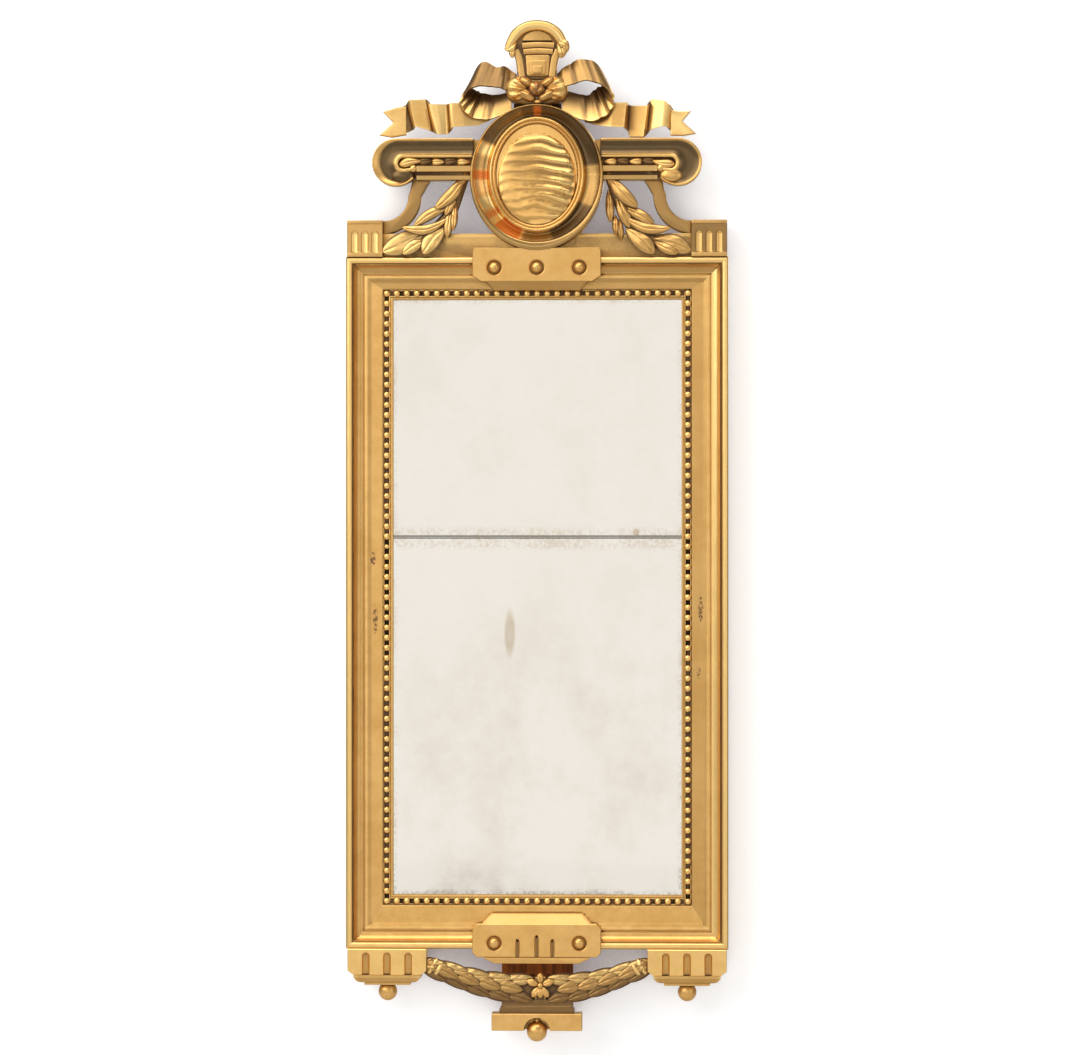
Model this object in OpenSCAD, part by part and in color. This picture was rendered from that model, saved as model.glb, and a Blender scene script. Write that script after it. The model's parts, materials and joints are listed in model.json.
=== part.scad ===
// Giltwood pier mirror: a mitred frame with two mirror plates, a carved crest with an oval
// medallion and a ribbon bow, and an apron with a laurel festoon.
// Front is -Y and up is +Z. The wall is the plane Y = 0, and a depth is measured out from it.

/* [Frame] */
// Width across the outer edges of the frame
frame_w = 450; // [420:5:500]
// Height across the outer edges of the frame
frame_h = 814; // [740:2:880]
// Depth of the frame at its outer fillet
frame_depth = 42; // [41:0.5:46]
// Depth of the flat frieze
frieze_depth = 31; // [30:0.5:33]
// Face width of each upright
stile_w = 55; // [54:1:66]
// Face width of the top rail
top_rail_w = 50; // [49:1:60]
// Face width of the bottom rail
bottom_rail_w = 63; // [54:1:72]

/* [Edge moulding] */
// Width of the rounded outer fillet
fillet_w = 9; // [8:0.5:10]
// Width of the groove beside the outer fillet
quirk_w = 1.5; // [1:0.25:2]
// Depth of the groove beside the outer fillet
quirk_cut = 3; // [2:0.5:4]
// Flat between the groove and the cove
quirk_flat = 1; // [0.5:0.25:1.5]
// Radius of the cove
cove_r = 11; // [9:0.5:12]
// Diameter of the round bead between the cove and the frieze
arris_w = 5; // [4:0.5:6]

/* [Sight edge] */
// Width of the channel that holds the pearls
bed_w = 9; // [8:0.5:10]
// Depth at the floor of the pearl channel
bed_depth = 27; // [26.5:0.25:28]
// Width of the lip beside the glass
lip_w = 3; // [2.5:0.25:4]
// Depth at the front of the lip
lip_depth = 29; // [28.5:0.25:30]
// Diameter of a pearl
pearl_d = 7.4; // [5:0.2:7.8]
// Distance between pearls
pearl_pitch = 12; // [10:0.5:16]
// Thickness of the lath that carries the pearls
pearl_lath_t = 1.5; // [1:0.25:2]

/* [Mirror plates] */
// Thickness of the mirror glass
glass_t = 3; // [2.5:0.25:4]
// Depth of the front face of the glass
glass_depth = 24; // [23.5:0.25:25]
// Width of the rebate that holds the glass
glass_rebate_w = 9; // [7:0.5:11]
// Clearance around the glass in its rebate
glass_clear = 1; // [0.5:0.25:2]
// Height of the joint between the two plates, above the middle of the frame
glass_joint_z = 76; // [-60:1:120]
// Gap between the two plates
glass_joint_gap = 0.5; // [0.3:0.1:1]
// Length of each block that wedges the glass
glass_block_l = 30; // [20:1:50]

/* [Back] */
// Thickness of the backboards
board_t = 8; // [6:0.5:9]
// Width of the rebate that holds the backboards
board_rebate_w = 20; // [18:0.5:22]
// Gap around each backboard
board_gap = 1; // [0.5:0.25:2]
// Radius of a backboard nail
nail_r = 1.2; // [1:0.1:1.6]
// Length of a backboard nail
nail_l = 19; // [14:0.5:21]
// Length of the key let in across each mitre
key_l = 27; // [20:1:28]
// Width of the key let in across each mitre
key_w = 8; // [6:0.5:9]
// Thickness of the key let in across each mitre
key_t = 6; // [4:0.5:8]
// Clearance around a key, a dowel, a nail or a screw in its hole
fit_clear = 0.1; // [0.05:0.05:0.2]

/* [Crest] */
// Thickness of the crest board
crest_board_t = 12; // [12:0.5:14]
// Height of the plain panel above the frame
panel_h = 28; // [24:1:32]
// Width of each fluted block above the frame
top_block_w = 42; // [36:1:48]
// Height of each fluted block above the frame
top_block_h = 43; // [38:1:48]
// Inner radius of the curved bracket beside each block
bracket_r = 29.5; // [26:0.5:32]
// Height of the underside of the scrolled bar above the frame
bar_rise = 90; // [86:1:96]
// Height of the scrolled bar
bar_h = 49; // [46:1:54]
// Depth of the front of the scrolled bar
bar_depth = 46; // [44:0.5:48]
// Radius of the scroll at each end of the bar
scroll_r = 28; // [26:0.5:30]
// Distance of each scroll inside the outer edge of the frame
scroll_inset = 31; // [24:1:38]
// Radius of the dowels between the crest board and the frame
dowel_r = 3.5; // [3:0.25:4]

/* [Medallion] */
// Width of the oval medallion
medallion_w = 157; // [146:1:166]
// Height of the oval medallion
medallion_h = 172; // [160:1:180]
// Height of the bottom of the medallion above the frame
medallion_rise = 7; // [5:0.5:10]
// Depth of the rim of the medallion
medallion_depth = 54; // [52:0.5:58]
// Width of the raised oval inside the cove
inner_oval_w = 112; // [104:1:118]
// Height of the raised oval inside the cove
inner_oval_h = 135; // [126:1:140]
// Width of the rippled oval field
field_w = 91; // [84:1:96]
// Height of the rippled oval field
field_h = 110; // [100:1:114]

/* [Bow] */
// Height of the knot
knot_h = 34; // [30:1:38]
// Half the width of the knot
knot_half_w = 36; // [32:1:40]
// Depth of the front of the knot
knot_depth = 56; // [52:0.5:60]
// Height of the hooded loop above the knot
top_loop_h = 65; // [58:1:70]
// Thickness of the ribbon tails
tail_t = 10; // [8:0.5:11]

/* [Plaques] */
// Width of both plaques
plaque_w = 151; // [130:1:170]
// Height of the upper plaque
top_plaque_h = 40; // [36:1:44]
// Height of the top of the upper plaque above the frame
top_plaque_rise = 10.5; // [9:0.5:13]
// Height of the lower plaque
bottom_plaque_h = 39; // [36:1:44]
// Drop of the lower plaque below the frame
bottom_plaque_drop = 8.6; // [7:0.2:11]
// Depth of the front of both plaques
plaque_depth = 50; // [48:0.5:54]
// Height of the sloping cap beside each plaque
plaque_cap_h = 12; // [9:0.5:13]
// Radius of a stud
stud_r = 6.2; // [5:0.2:7]
// Distance of the outer studs from the middle
stud_x = 50; // [40:1:56]

/* [Apron] */
// Width of each fluted block below the frame
bottom_block_w = 93; // [84:1:100]
// Height of each fluted block below the frame
bottom_block_h = 31; // [28:0.5:36]
// Height of the stepped moulding below each block
drop_h = 12; // [11:0.5:14]
// Radius of the turned balls below the blocks
ball_r = 11; // [9:0.5:12]
// Radius of the turned ball in the middle
centre_ball_r = 12; // [10:0.5:13]
// Drop of the top of the festoon below the frame, at its middle
festoon_drop = 29; // [27:0.5:32]
// Thickness of the festoon at its middle
festoon_h = 37; // [32:1:40]
// Half the width of the bottom plate
base_plate_half_w = 53; // [46:1:60]
// Height of the bottom plate
base_plate_h = 20; // [18:0.5:24]
// Height of the hollow moulding above the bottom plate
pedestal_h = 9; // [7:0.5:11]

/* [Hanger] */
// Thickness of the boards that carry the crest and the apron
spine_t = 9; // [8.5:0.25:9]
// Lap of those boards onto the rails
spine_lap = 24; // [20:1:26]
// Width of the crest spine
spine_w = 56; // [44:1:60]
// Width of the apron board
apron_w = 84; // [76:2:88]
// Thickness of the iron hanger plate
hanger_plate_t = 1.5; // [1:0.25:2]
// Radius of the middle line of the hanging ring
ring_r = 12; // [10:0.5:14]
// Thickness of the square iron bar of the ring
ring_bar = 3; // [2.5:0.1:3.2]
// Radius of the hole in the staple
eye_r = 2; // [1.8:0.1:2.4]
// Thickness of the staple
eye_t = 3; // [2.5:0.25:3.5]

/* [Hidden] */
$fn = 64;

gilt = "#d9a862";
burnished = "#a07c3c";
bare_pine = "#c9a36a";
mirror_grey = "#dcdcd6";
iron = "#4a4642";

// Places that the whole frame hangs on.
half_w = frame_w / 2;
frame_top = frame_h / 2;
frame_bottom = -frame_h / 2;
edge_w = fillet_w + quirk_w + quirk_flat + cove_r + arris_w;
sight_w = bed_w + lip_w;
open_half_w = half_w - stile_w;
open_top = frame_top - top_rail_w;
open_bottom = frame_bottom + bottom_rail_w;
glass_back = glass_depth - glass_t;
// A cut runs this far past the face that it opens.
past = 1;

// The boards of the crest and the apron stand between these depths.
spine_back = 9;
spine_front = spine_back + spine_t;
crest_front = spine_front + crest_board_t;

// Crest
block_inset = 1.5;
block_inner = half_w - block_inset - top_block_w;
block_back = 6;
bar_bottom = frame_top + bar_rise;
bar_top = bar_bottom + bar_h;
scroll_x = half_w - scroll_inset - scroll_r;
scroll_z = bar_top - scroll_r;
bracket_w = 15.5;
bracket_z = frame_top + top_block_h + bracket_r;
medallion_z = frame_top + medallion_rise + medallion_h / 2;
medallion_top = medallion_z + medallion_h / 2;
inner_oval_rise = 3.5;
field_fall = 3.5;
// Clearance between the medallion and the pieces scribed to it.
scribe = 0.3;
knot_z = medallion_top + knot_h;

// Apron
bottom_block_inset = 2;
bottom_block_x = half_w - bottom_block_inset - bottom_block_w / 2;
bottom_block_inner = bottom_block_x - bottom_block_w / 2;
bottom_block_z = frame_bottom - bottom_block_h;
bottom_block_back = 4;
drop_z = bottom_block_z - drop_h;
drop_depth = (frame_depth + bottom_block_back) / 2;
festoon_top = frame_bottom - festoon_drop;
festoon_bottom = festoon_top - festoon_h;
pedestal_top = festoon_bottom - scribe;
pedestal_bottom = pedestal_top - pedestal_h;
base_plate_z = pedestal_bottom - base_plate_h;
festoon_front = 44;
binding_half_w = 7;
binding_x = 4;
ball_centre_depth = 37;
// The middle ball hangs this far below the edge of its plate.
centre_ball_fall = 1.5;

// Hanger
eye_z = medallion_z;
eye_outer_r = eye_r + 1.8;
plate_back = spine_back - hanger_plate_t;
eye_depth = plate_back - 1.5 - ring_bar / 2;
staple_leg_r = 1.2;
hanger_plate_half_w = 15;
hanger_plate_half_h = 24;

// ---- Drawing aids ----

// Thickens an outline, drawn in X and Z, between two depths.
module slab(from, to) {
    rotate([90, 0, 0]) translate([0, 0, from]) linear_extrude(to - from) children();
}

// Runs a section, drawn as depth and height, along X from one place to another.
module run(from, to) {
    translate([from, 0, 0]) rotate([90, 0, 90]) linear_extrude(to - from) mirror([1, 0]) children();
}

module mirrored() {
    mirror([1, 0, 0]) children();
}

// Points of a closed curve through the given points.
function curve_point(p, i, t) =
    let (n = len(p), a = p[(i + n - 1) % n], b = p[i], c = p[(i + 1) % n], d = p[(i + 2) % n])
    0.5 * (2 * b + (c - a) * t + (2 * a - 5 * b + 4 * c - d) * t * t
        + (3 * b - a - 3 * c + d) * t * t * t);
function smooth(p, steps = 4) =
    [for (i = [0:len(p) - 1]) for (s = [0:steps - 1]) curve_point(p, i, s / steps)];
function oval(half_a, half_b, steps = 72) =
    [for (i = [0:steps - 1]) [half_a * cos(i * 360 / steps), half_b * sin(i * 360 / steps)]];
function reversed(list) = [for (i = [len(list) - 1:-1:0]) list[i]];
function shifted(points, by) = [for (p = points) p + by];

// An oval turning. Each row of its section is [half width, half height, depth, rise],
// going once around the section.
module oval_turning(section, steps = 64) {
    n = len(section);
    points = [for (row = section) for (i = [0:steps - 1])
        [row[0] * cos(i * 360 / steps), -row[2], row[1] * sin(i * 360 / steps) + row[3]]];
    sides = [for (r = [0:n - 1]) for (i = [0:steps - 1])
        let (next_row = (r + 1) % n, j = (i + 1) % steps)
        [r * steps + i, r * steps + j, next_row * steps + j, next_row * steps + i]];
    translate([0, 0, medallion_z]) polyhedron(points, sides, convexity = 6);
}

// The outline of the medallion, grown by a clearance.
module medallion_outline(grow = 0) {
    translate([0, medallion_z]) polygon(oval(medallion_w / 2 + grow, medallion_h / 2 + grow));
}

// A laurel leaf with its point and its stalk on a line at the given angle.
module leaf(centre, length, width, angle, from, to) {
    bend = (length * length / width + width) / 4;
    slab(from, to) translate(centre) rotate(angle) intersection() {
        translate([0, bend - width / 2]) circle(bend);
        translate([0, width / 2 - bend]) circle(bend);
    }
}

// A vertical flute with a round head, cut into a face at the given depth.
module flute(x, bottom, top, radius, front, cut) {
    translate([x, -(front + radius - cut), bottom]) cylinder(r = radius, h = top - radius - bottom);
    translate([x, -(front + radius - cut), top - radius]) sphere(radius);
}

// A hole for a screw or a nail, driven from the back.
module bore(x, z, from, to, radius) {
    slab(from, to) translate([x, z]) circle(radius);
}

// ---- Frame ----

// The section of every rail: distance from the outer edge, then depth.
module rail_section(width) {
    cove_x = fillet_w + quirk_w + quirk_flat + cove_r;
    cove_floor = frieze_depth + 1.5;
    shoulder = frame_depth - 2;
    difference() {
        union() {
            square([width - board_rebate_w, frieze_depth]);
            translate([0, board_t]) square([width - glass_rebate_w, bed_depth - board_t]);
            translate([0, board_t]) square([width - sight_w, frieze_depth - board_t]);
            translate([0, glass_depth]) square([width, bed_depth - glass_depth]);
            translate([width - lip_w, glass_depth]) square([lip_w, lip_depth - glass_depth]);
            square([cove_x, shoulder]);
            square([fillet_w, frame_depth - fillet_w / 2]);
            translate([fillet_w / 2, frame_depth - fillet_w / 2]) circle(d = fillet_w);
        }
        translate([cove_x, cove_floor + cove_r]) circle(cove_r);
        translate([fillet_w, shoulder - quirk_cut]) square([quirk_w, quirk_cut + past]);
    }
    translate([cove_x, board_t]) square([arris_w, cove_floor - board_t]);
    translate([cove_x + arris_w / 2, cove_floor]) circle(d = arris_w);
}

// The mitre line at one corner, from the outer corner to the sight corner.
function mitre(side, top, rail_w) =
    [for (step = [[0, 0], [edge_w, edge_w], [stile_w - sight_w, rail_w - sight_w], [stile_w, rail_w]])
        [side * (half_w - step[0]), top ? frame_top - step[1] : frame_bottom + step[1]]];

module key_outline(grow = 0) {
    key_inset = 14;
    for (side = [-1, 1]) for (end = [-1, 1])
        translate([side * (half_w - key_inset), end * (frame_top - key_inset)])
            rotate(-45 * side * end) square([key_l + 2 * grow, key_w + 2 * grow], center = true);
}

function nail_places() =
    let (x = open_half_w + (glass_rebate_w + board_rebate_w) / 2,
        up = open_top + (glass_rebate_w + board_rebate_w) / 2,
        down = open_bottom - (glass_rebate_w + board_rebate_w) / 2)
    concat(
        [for (i = [0:2]) for (share = [0.2, 0.8]) for (side = [-1, 1]) [side * x, board_place(i, share)]],
        [for (side = [-1, 1]) for (z = [up, down]) [side * open_half_w / 2, z]]
    );

module rail_cuts() {
    slab(-past, key_t) key_outline(fit_clear);
    for (p = nail_places()) bore(p[0], p[1], board_t - past, nail_l + fit_clear, nail_r + fit_clear);
}

module left_stile() color(gilt) {
    difference() {
        intersection() {
            translate([-half_w, 0, frame_bottom]) linear_extrude(frame_h)
                mirror([0, 1]) rail_section(stile_w);
            slab(-past, frame_depth + past) polygon(concat(
                mitre(-1, true, top_rail_w), reversed(mitre(-1, false, bottom_rail_w))));
        }
        rail_cuts();
    }
}

module right_stile() mirrored() left_stile();

module top_rail() color(gilt) {
    difference() {
        intersection() {
            translate([-half_w, 0, frame_top]) rotate([0, 90, 0]) linear_extrude(frame_w)
                mirror([0, 1]) rail_section(top_rail_w);
            slab(-past, frame_depth + past) polygon(concat(
                mitre(-1, true, top_rail_w), reversed(mitre(1, true, top_rail_w))));
        }
        rail_cuts();
        slab(-past, spine_front) translate([-spine_w / 2 - fit_clear, frame_top - spine_lap - fit_clear])
            square([spine_w + 2 * fit_clear, spine_lap + past]);
        crest_dowel_shapes(fit_clear);
        screw_shapes(crest_screw_places(), fit_clear);
    }
}

module bottom_rail() color(gilt) {
    difference() {
        intersection() {
            translate([half_w, 0, frame_bottom]) rotate([0, -90, 0]) linear_extrude(frame_w)
                mirror([0, 1]) rail_section(bottom_rail_w);
            slab(-past, frame_depth + past) polygon(concat(
                mitre(-1, false, bottom_rail_w), reversed(mitre(1, false, bottom_rail_w))));
        }
        rail_cuts();
        slab(-past, spine_front) translate([-apron_w / 2 - fit_clear, frame_bottom - past])
            square([apron_w + 2 * fit_clear, spine_lap + past + fit_clear]);
        screw_shapes(apron_screw_places(), fit_clear);
    }
}

module mitre_keys() color(bare_pine) slab(0, key_t - fit_clear) key_outline();

// ---- Pearls ----

pearl_line_x = open_half_w + lip_w + bed_w / 2;
pearl_line_top = open_top + lip_w + bed_w / 2;
pearl_line_bottom = open_bottom - lip_w - bed_w / 2;
pearl_lath_w = bed_w - 2 * fit_clear;
pearl_centre_depth = bed_depth + pearl_lath_t + 0.7;

// A pearl is a ball cut flat just inside its lath.
module pearl(place) {
    cut = pearl_centre_depth - bed_depth - 0.3;
    translate([place[0], -pearl_centre_depth, place[1]]) rotate([90, 0, 0]) rotate_extrude()
        intersection() {
            circle(d = pearl_d);
            translate([0, -cut]) square(pearl_d);
        }
}

// Pearls from one point to another in X and Z, leaving off the two at the ends where asked.
module pearl_row(start, end, skip_ends) {
    gaps = round(norm(end - start) / pearl_pitch);
    skip = skip_ends ? 1 : 0;
    for (i = [skip:gaps - skip]) pearl(start + (end - start) * i / gaps);
}

module pearl_strip_left() color(gilt) {
    slab(bed_depth, bed_depth + pearl_lath_t)
        translate([-pearl_line_x - pearl_lath_w / 2, pearl_line_bottom - pearl_lath_w / 2])
            square([pearl_lath_w, pearl_line_top - pearl_line_bottom + pearl_lath_w]);
    pearl_row([-pearl_line_x, pearl_line_bottom], [-pearl_line_x, pearl_line_top], false);
}

module pearl_strip_right() mirrored() pearl_strip_left();

module pearl_strip_across(z) color(gilt) {
    half_l = pearl_line_x - pearl_lath_w / 2 - fit_clear;
    slab(bed_depth, bed_depth + pearl_lath_t)
        translate([-half_l, z - pearl_lath_w / 2]) square([2 * half_l, pearl_lath_w]);
    pearl_row([-pearl_line_x, z], [pearl_line_x, z], true);
}

module pearl_strip_top() pearl_strip_across(pearl_line_top);

module pearl_strip_bottom() pearl_strip_across(pearl_line_bottom);

// ---- Mirror plates and back ----

glass_half_w = open_half_w + glass_rebate_w - glass_clear;
glass_top = open_top + glass_rebate_w - glass_clear;
glass_bottom = open_bottom - glass_rebate_w + glass_clear;

module mirror_plate(bottom, top) color(mirror_grey)
    slab(glass_back, glass_depth) translate([-glass_half_w, bottom])
        square([2 * glass_half_w, top - bottom]);

module upper_mirror_plate() mirror_plate(glass_joint_z, glass_top);

module lower_mirror_plate() mirror_plate(glass_bottom, glass_joint_z - glass_joint_gap);

// Softwood blocks in the rebate, between the glass and the backboards.
module glass_blocks() color(bare_pine) {
    rows = 5;
    block_w = glass_rebate_w;
    clear = fit_clear;
    for (side = [-1, 1]) for (i = [0:rows - 1]) {
        z = glass_bottom + (glass_top - glass_bottom) * (i + 0.5) / rows;
        slab(board_t, glass_back) translate([
            side * (open_half_w + glass_rebate_w - block_w / 2 - clear), z
        ]) square([block_w, glass_block_l], center = true);
    }
}

boards_bottom = open_bottom - board_rebate_w + board_gap;
boards_top = open_top + board_rebate_w - board_gap;
board_h = (boards_top - boards_bottom - 2 * board_gap) / 3;

// Height of a place on one of the three backboards, counted from the bottom one.
function board_place(i, share) = boards_bottom + i * (board_h + board_gap) + share * board_h;

module backboard(i) color(bare_pine) {
    half = open_half_w + board_rebate_w - board_gap;
    difference() {
        slab(0, board_t) translate([-half, board_place(i, 0)]) square([2 * half, board_h]);
        for (p = nail_places()) {
            bore(p[0], p[1], -past, board_t + past, nail_r + fit_clear);
            bore(p[0], p[1], -past, nail_head_t, nail_head_r + fit_clear);
        }
    }
}

nail_head_t = 1.2;
nail_head_r = 3;

module backboard_upper() backboard(2);

module backboard_middle() backboard(1);

module backboard_lower() backboard(0);

module backboard_nails() color(iron) {
    for (p = nail_places()) {
        bore(p[0], p[1], 0, nail_head_t, nail_head_r);
        bore(p[0], p[1], 0, nail_l, nail_r);
    }
}

// ---- Crest construction ----

// The pierced board: a panel, two curved brackets, a strip behind the bar and an oval
// behind the medallion.
module crest_outline() {
    board_margin = 8;
    translate([-block_inner, frame_top]) square([2 * block_inner, panel_h]);
    translate([0, medallion_z])
        polygon(oval(medallion_w / 2 - board_margin, medallion_h / 2 - board_margin));
    translate([-scroll_x, bar_bottom]) square([2 * scroll_x, bar_h]);
    for (side = [0, 1]) mirror([side, 0]) {
        translate([scroll_x, scroll_z]) circle(scroll_r - 1);
        bracket_outline();
    }
}

module bracket_outline() {
    outer_r = bracket_r + bracket_w;
    intersection() {
        translate([block_inner, bracket_z]) difference() {
            circle(outer_r);
            circle(bracket_r);
        }
        translate([block_inner - outer_r, bracket_z - outer_r]) square([outer_r, outer_r]);
    }
    polygon([
        [block_inner - bracket_r, bracket_z], [block_inner - bracket_r - 5, bracket_z + 11],
        [block_inner - bracket_r - 5, bar_bottom + past],
        [block_inner - outer_r - 12, bar_bottom + past],
        [block_inner - outer_r - 6, bar_bottom - 5], [block_inner - outer_r, bracket_z]
    ]);
}

module crest_board() color(gilt) {
    difference() {
        slab(spine_front, crest_front) crest_outline();
        crest_dowel_shapes(fit_clear);
        screw_shapes(crest_screw_places(), fit_clear);
    }
}

// A screw is [x, z]. Its head is sunk flush with the back of the board that it holds.
screw_r = 2;
screw_head_r = 4;
screw_head_l = 3;
screw_l = 18;
function crest_screw_places() = [
    [-15, frame_top - spine_lap / 2], [15, frame_top - spine_lap / 2],
    [0, frame_top + panel_h / 2], [0, medallion_top - 30]
];
function apron_screw_places() = [
    [-30, frame_bottom + spine_lap / 2], [30, frame_bottom + spine_lap / 2],
    [-25, base_plate_z + base_plate_h / 2], [25, base_plate_z + base_plate_h / 2]
];

module screw_shapes(places, grow = 0) {
    for (p = places) translate([p[0], -spine_back, p[1]]) rotate([90, 0, 0]) {
        cylinder(r1 = screw_head_r + grow, r2 = screw_r + grow, h = screw_head_l);
        cylinder(r = screw_r + grow, h = screw_l + grow);
    }
}

module crest_screws() color(iron) screw_shapes(crest_screw_places());

module apron_screws() color(iron) screw_shapes(apron_screw_places());

module crest_spine() color(bare_pine) {
    difference() {
        slab(spine_back, spine_front) translate([-spine_w / 2, frame_top - spine_lap])
            square([spine_w, spine_lap + knot_z - 5 - frame_top]);
        screw_shapes(crest_screw_places(), fit_clear);
        staple_leg(fit_clear);
        hanger_nail_shapes(fit_clear);
    }
}

dowel_l = 30;
dowel_x = 120;
module crest_dowel_shapes(grow = 0) {
    for (side = [-1, 1])
        translate([side * dowel_x, -(spine_front + crest_front) / 2, frame_top - dowel_l / 2 - grow])
            cylinder(r = dowel_r + grow, h = dowel_l + 2 * grow);
}

module crest_dowels() color(bare_pine) crest_dowel_shapes();

// ---- Scrolled bar ----

lower_fillet_h = 6;
groove_h = 2.5;
middle_fillet_h = 9;

// Section of the bar: depth, then height above its underside.
module bar_section() {
    channel_h = strip_h + 2 * fit_clear;
    band_r = 6.5;
    groove_top = lower_fillet_h + groove_h;
    channel_bottom = groove_top + middle_fillet_h;
    channel_top = channel_bottom + channel_h;
    band_bottom = channel_top + 6;
    difference() {
        translate([crest_front, 0]) square([bar_depth - crest_front, bar_h]);
        translate([bar_depth - 5, -past]) square([5 + past, lower_fillet_h + past]);
        translate([bar_depth - 9, lower_fillet_h]) square([9 + past, groove_h]);
        translate([bar_depth - 3, groove_top]) square([3 + past, middle_fillet_h]);
        translate([channel_floor, channel_bottom]) square([bar_depth, channel_h]);
        translate([bar_depth - 2, channel_top]) square([2 + past, band_bottom - channel_top + past]);
        translate([bar_depth, band_bottom + band_r]) circle(band_r);
    }
}

strip_h = 9.6;
strip_bottom = bar_bottom + lower_fillet_h + groove_h + middle_fillet_h + fit_clear;
channel_floor = bar_depth - 9;

module scroll_bar_right() color(burnished) {
    eye_shift = 7;
    difference() {
        union() {
            translate([0, 0, bar_bottom]) run(0, scroll_x + 10) bar_section();
            slab(crest_front, bar_depth) translate([scroll_x, scroll_z]) circle(scroll_r);
        }
        // the burnished band curls around the eye of the scroll
        slab(bar_depth - 5, bar_depth + past) difference() {
            translate([scroll_x, scroll_z]) circle(scroll_r - 3);
            translate([scroll_x - eye_shift, scroll_z - 1]) circle(scroll_r / 2 - 2);
        }
        slab(0, bar_depth + past) medallion_outline(scribe);
    }
}

module scroll_bar_left() mirrored() scroll_bar_right();

// A row of small darts in the channel of the bar.
module carved_strip_right() color(gilt) {
    start = medallion_w / 2 + 1.5;
    end = scroll_x - scroll_r - fit_clear;
    darts = 5;
    step = (end - start) / darts;
    difference() {
        union() {
            slab(channel_floor, channel_floor + 2) translate([0, strip_bottom]) square([end, strip_h]);
            for (i = [0:darts - 1])
                leaf([start + step * (i + 0.5), strip_bottom + strip_h / 2], step * 0.98, strip_h - 1, 0,
                    channel_floor + 1, channel_floor + 5);
        }
        slab(0, bar_depth + past) medallion_outline(scribe);
    }
}

module carved_strip_left() mirrored() carved_strip_right();

// ---- Medallion ----

// Width of the step inside the raised oval, down to the field.
inner_oval_step = 8;

module medallion_ring() color(burnished) {
    a = medallion_w / 2;
    b = medallion_h / 2;
    in_a = inner_oval_w / 2;
    in_b = inner_oval_h / 2;
    rise = inner_oval_rise;
    front = medallion_depth;
    step = inner_oval_step;
    oval_turning([
        [in_a - step, in_b - step, crest_front, rise], [a, b, crest_front, 0], [a, b, front - 5, 0],
        [a - 0.8, b - 1, front - 1.5, 0], [a - 2.4, b - 3.2, front - 1, rise / 2],
        [a - 4, b - 6, front - 3, rise], [a - 7, b - 8.5, front - 8, rise],
        [a - 11, b - 12, front - 11, rise], [a - 15, b - 14.5, front - 12, rise],
        [in_a + 4, in_b + 2.5, front - 11, rise], [in_a + 0.8, in_b + 0.6, front - 7, rise],
        [in_a - 1, in_b - 1, front - 3.5, rise], [in_a - 3.5, in_b - 3.5, front - 3.5, rise],
        [in_a - 5.5, in_b - 5.5, front - 6, rise], [in_a - step, in_b - step, front - 7, rise]
    ]);
}

// Depth of the field at a share of the way from its middle to its upper or lower edge.
field_low = medallion_depth - 9;
field_swell = 4.5;
field_ripples = 9;
ripple_cut = 1.6;
function field_face(share) = abs(share) >= 1 ? field_low
    : field_low + field_swell * sqrt(1 - share * share)
        + ripple_cut * sin(180 * field_ripples * share) * (1 - share * share);

// The field is a shallow oval boss crossed by ripples.
module medallion_field() color(gilt) {
    samples = 96;
    edge = inner_oval_step + scribe;
    in_a = inner_oval_w / 2 - edge;
    in_b = inner_oval_h / 2 - edge;
    heights = [for (i = [0:samples]) in_b * (2 * i / samples - 1) + inner_oval_rise];
    translate([0, 0, medallion_z]) intersection() {
        slab(crest_front, medallion_depth) translate([0, inner_oval_rise]) polygon(oval(in_a, in_b));
        run(-in_a, in_a) polygon(concat(
            [[crest_front - past, heights[0] - past]],
            [for (h = heights) [field_face((h + field_fall) * 2 / field_h), h]],
            [[crest_front - past, heights[samples] + past]]
        ));
    }
}

// ---- Ribbon bow ----

module bow_knot() color(gilt) {
    bottom = knot_z - knot_h;
    difference() {
        union() {
            slab(spine_front, knot_depth - 8) polygon(smooth([
                [-knot_half_w, knot_z - 8], [-knot_half_w * 0.6, knot_z], [0, knot_z - 3],
                [knot_half_w * 0.6, knot_z], [knot_half_w, knot_z - 8], [knot_half_w, bottom + 2],
                [knot_half_w * 0.5, bottom - 3], [-knot_half_w * 0.5, bottom - 3],
                [-knot_half_w, bottom + 2]
            ]));
            slab(knot_depth - 10, knot_depth - 3) for (side = [-1, 1]) translate([side * 23, knot_z - 15])
                polygon(oval(12, 12, 32));
            slab(knot_depth - 10, knot_depth) translate([0, knot_z - 17]) polygon(oval(10, 12, 32));
        }
        slab(0, knot_depth + past) medallion_outline(scribe);
        for (side = [-1, 1]) slab(0, knot_depth + past)
            translate([side * (knot_half_w + 20), knot_z - knot_h / 2])
                square([40, 3 * knot_h], center = true);
        slab(0, knot_depth + past) translate([-50, knot_z]) square([100, 20]);
    }
}

// The hooded loop that stands above the knot, with a hollow face.
module bow_top_loop() color(gilt) {
    depth = knot_depth - 8;
    r = 30;
    centre = knot_z + top_loop_h - r;
    difference() {
        slab(spine_front, depth) {
            translate([0, centre]) circle(r);
            polygon([
                [-22, knot_z], [22, knot_z], [29, centre - 12], [37, centre - 2], [37, centre + 6],
                [20, centre + 20], [-20, centre + 20], [-37, centre + 6], [-37, centre - 2],
                [-29, centre - 12]
            ]);
        }
        slab(depth - 10, depth + past) {
            translate([0, centre - 1]) circle(r - 9);
            polygon([[-9, knot_z + 8], [9, knot_z + 8], [17, centre - 10], [-17, centre - 10]]);
        }
    }
    for (i = [0:2])
        slab(depth - 11, depth - 5) translate([-17, centre + 2 - 7 * i]) square([34, 4]);
}

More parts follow.
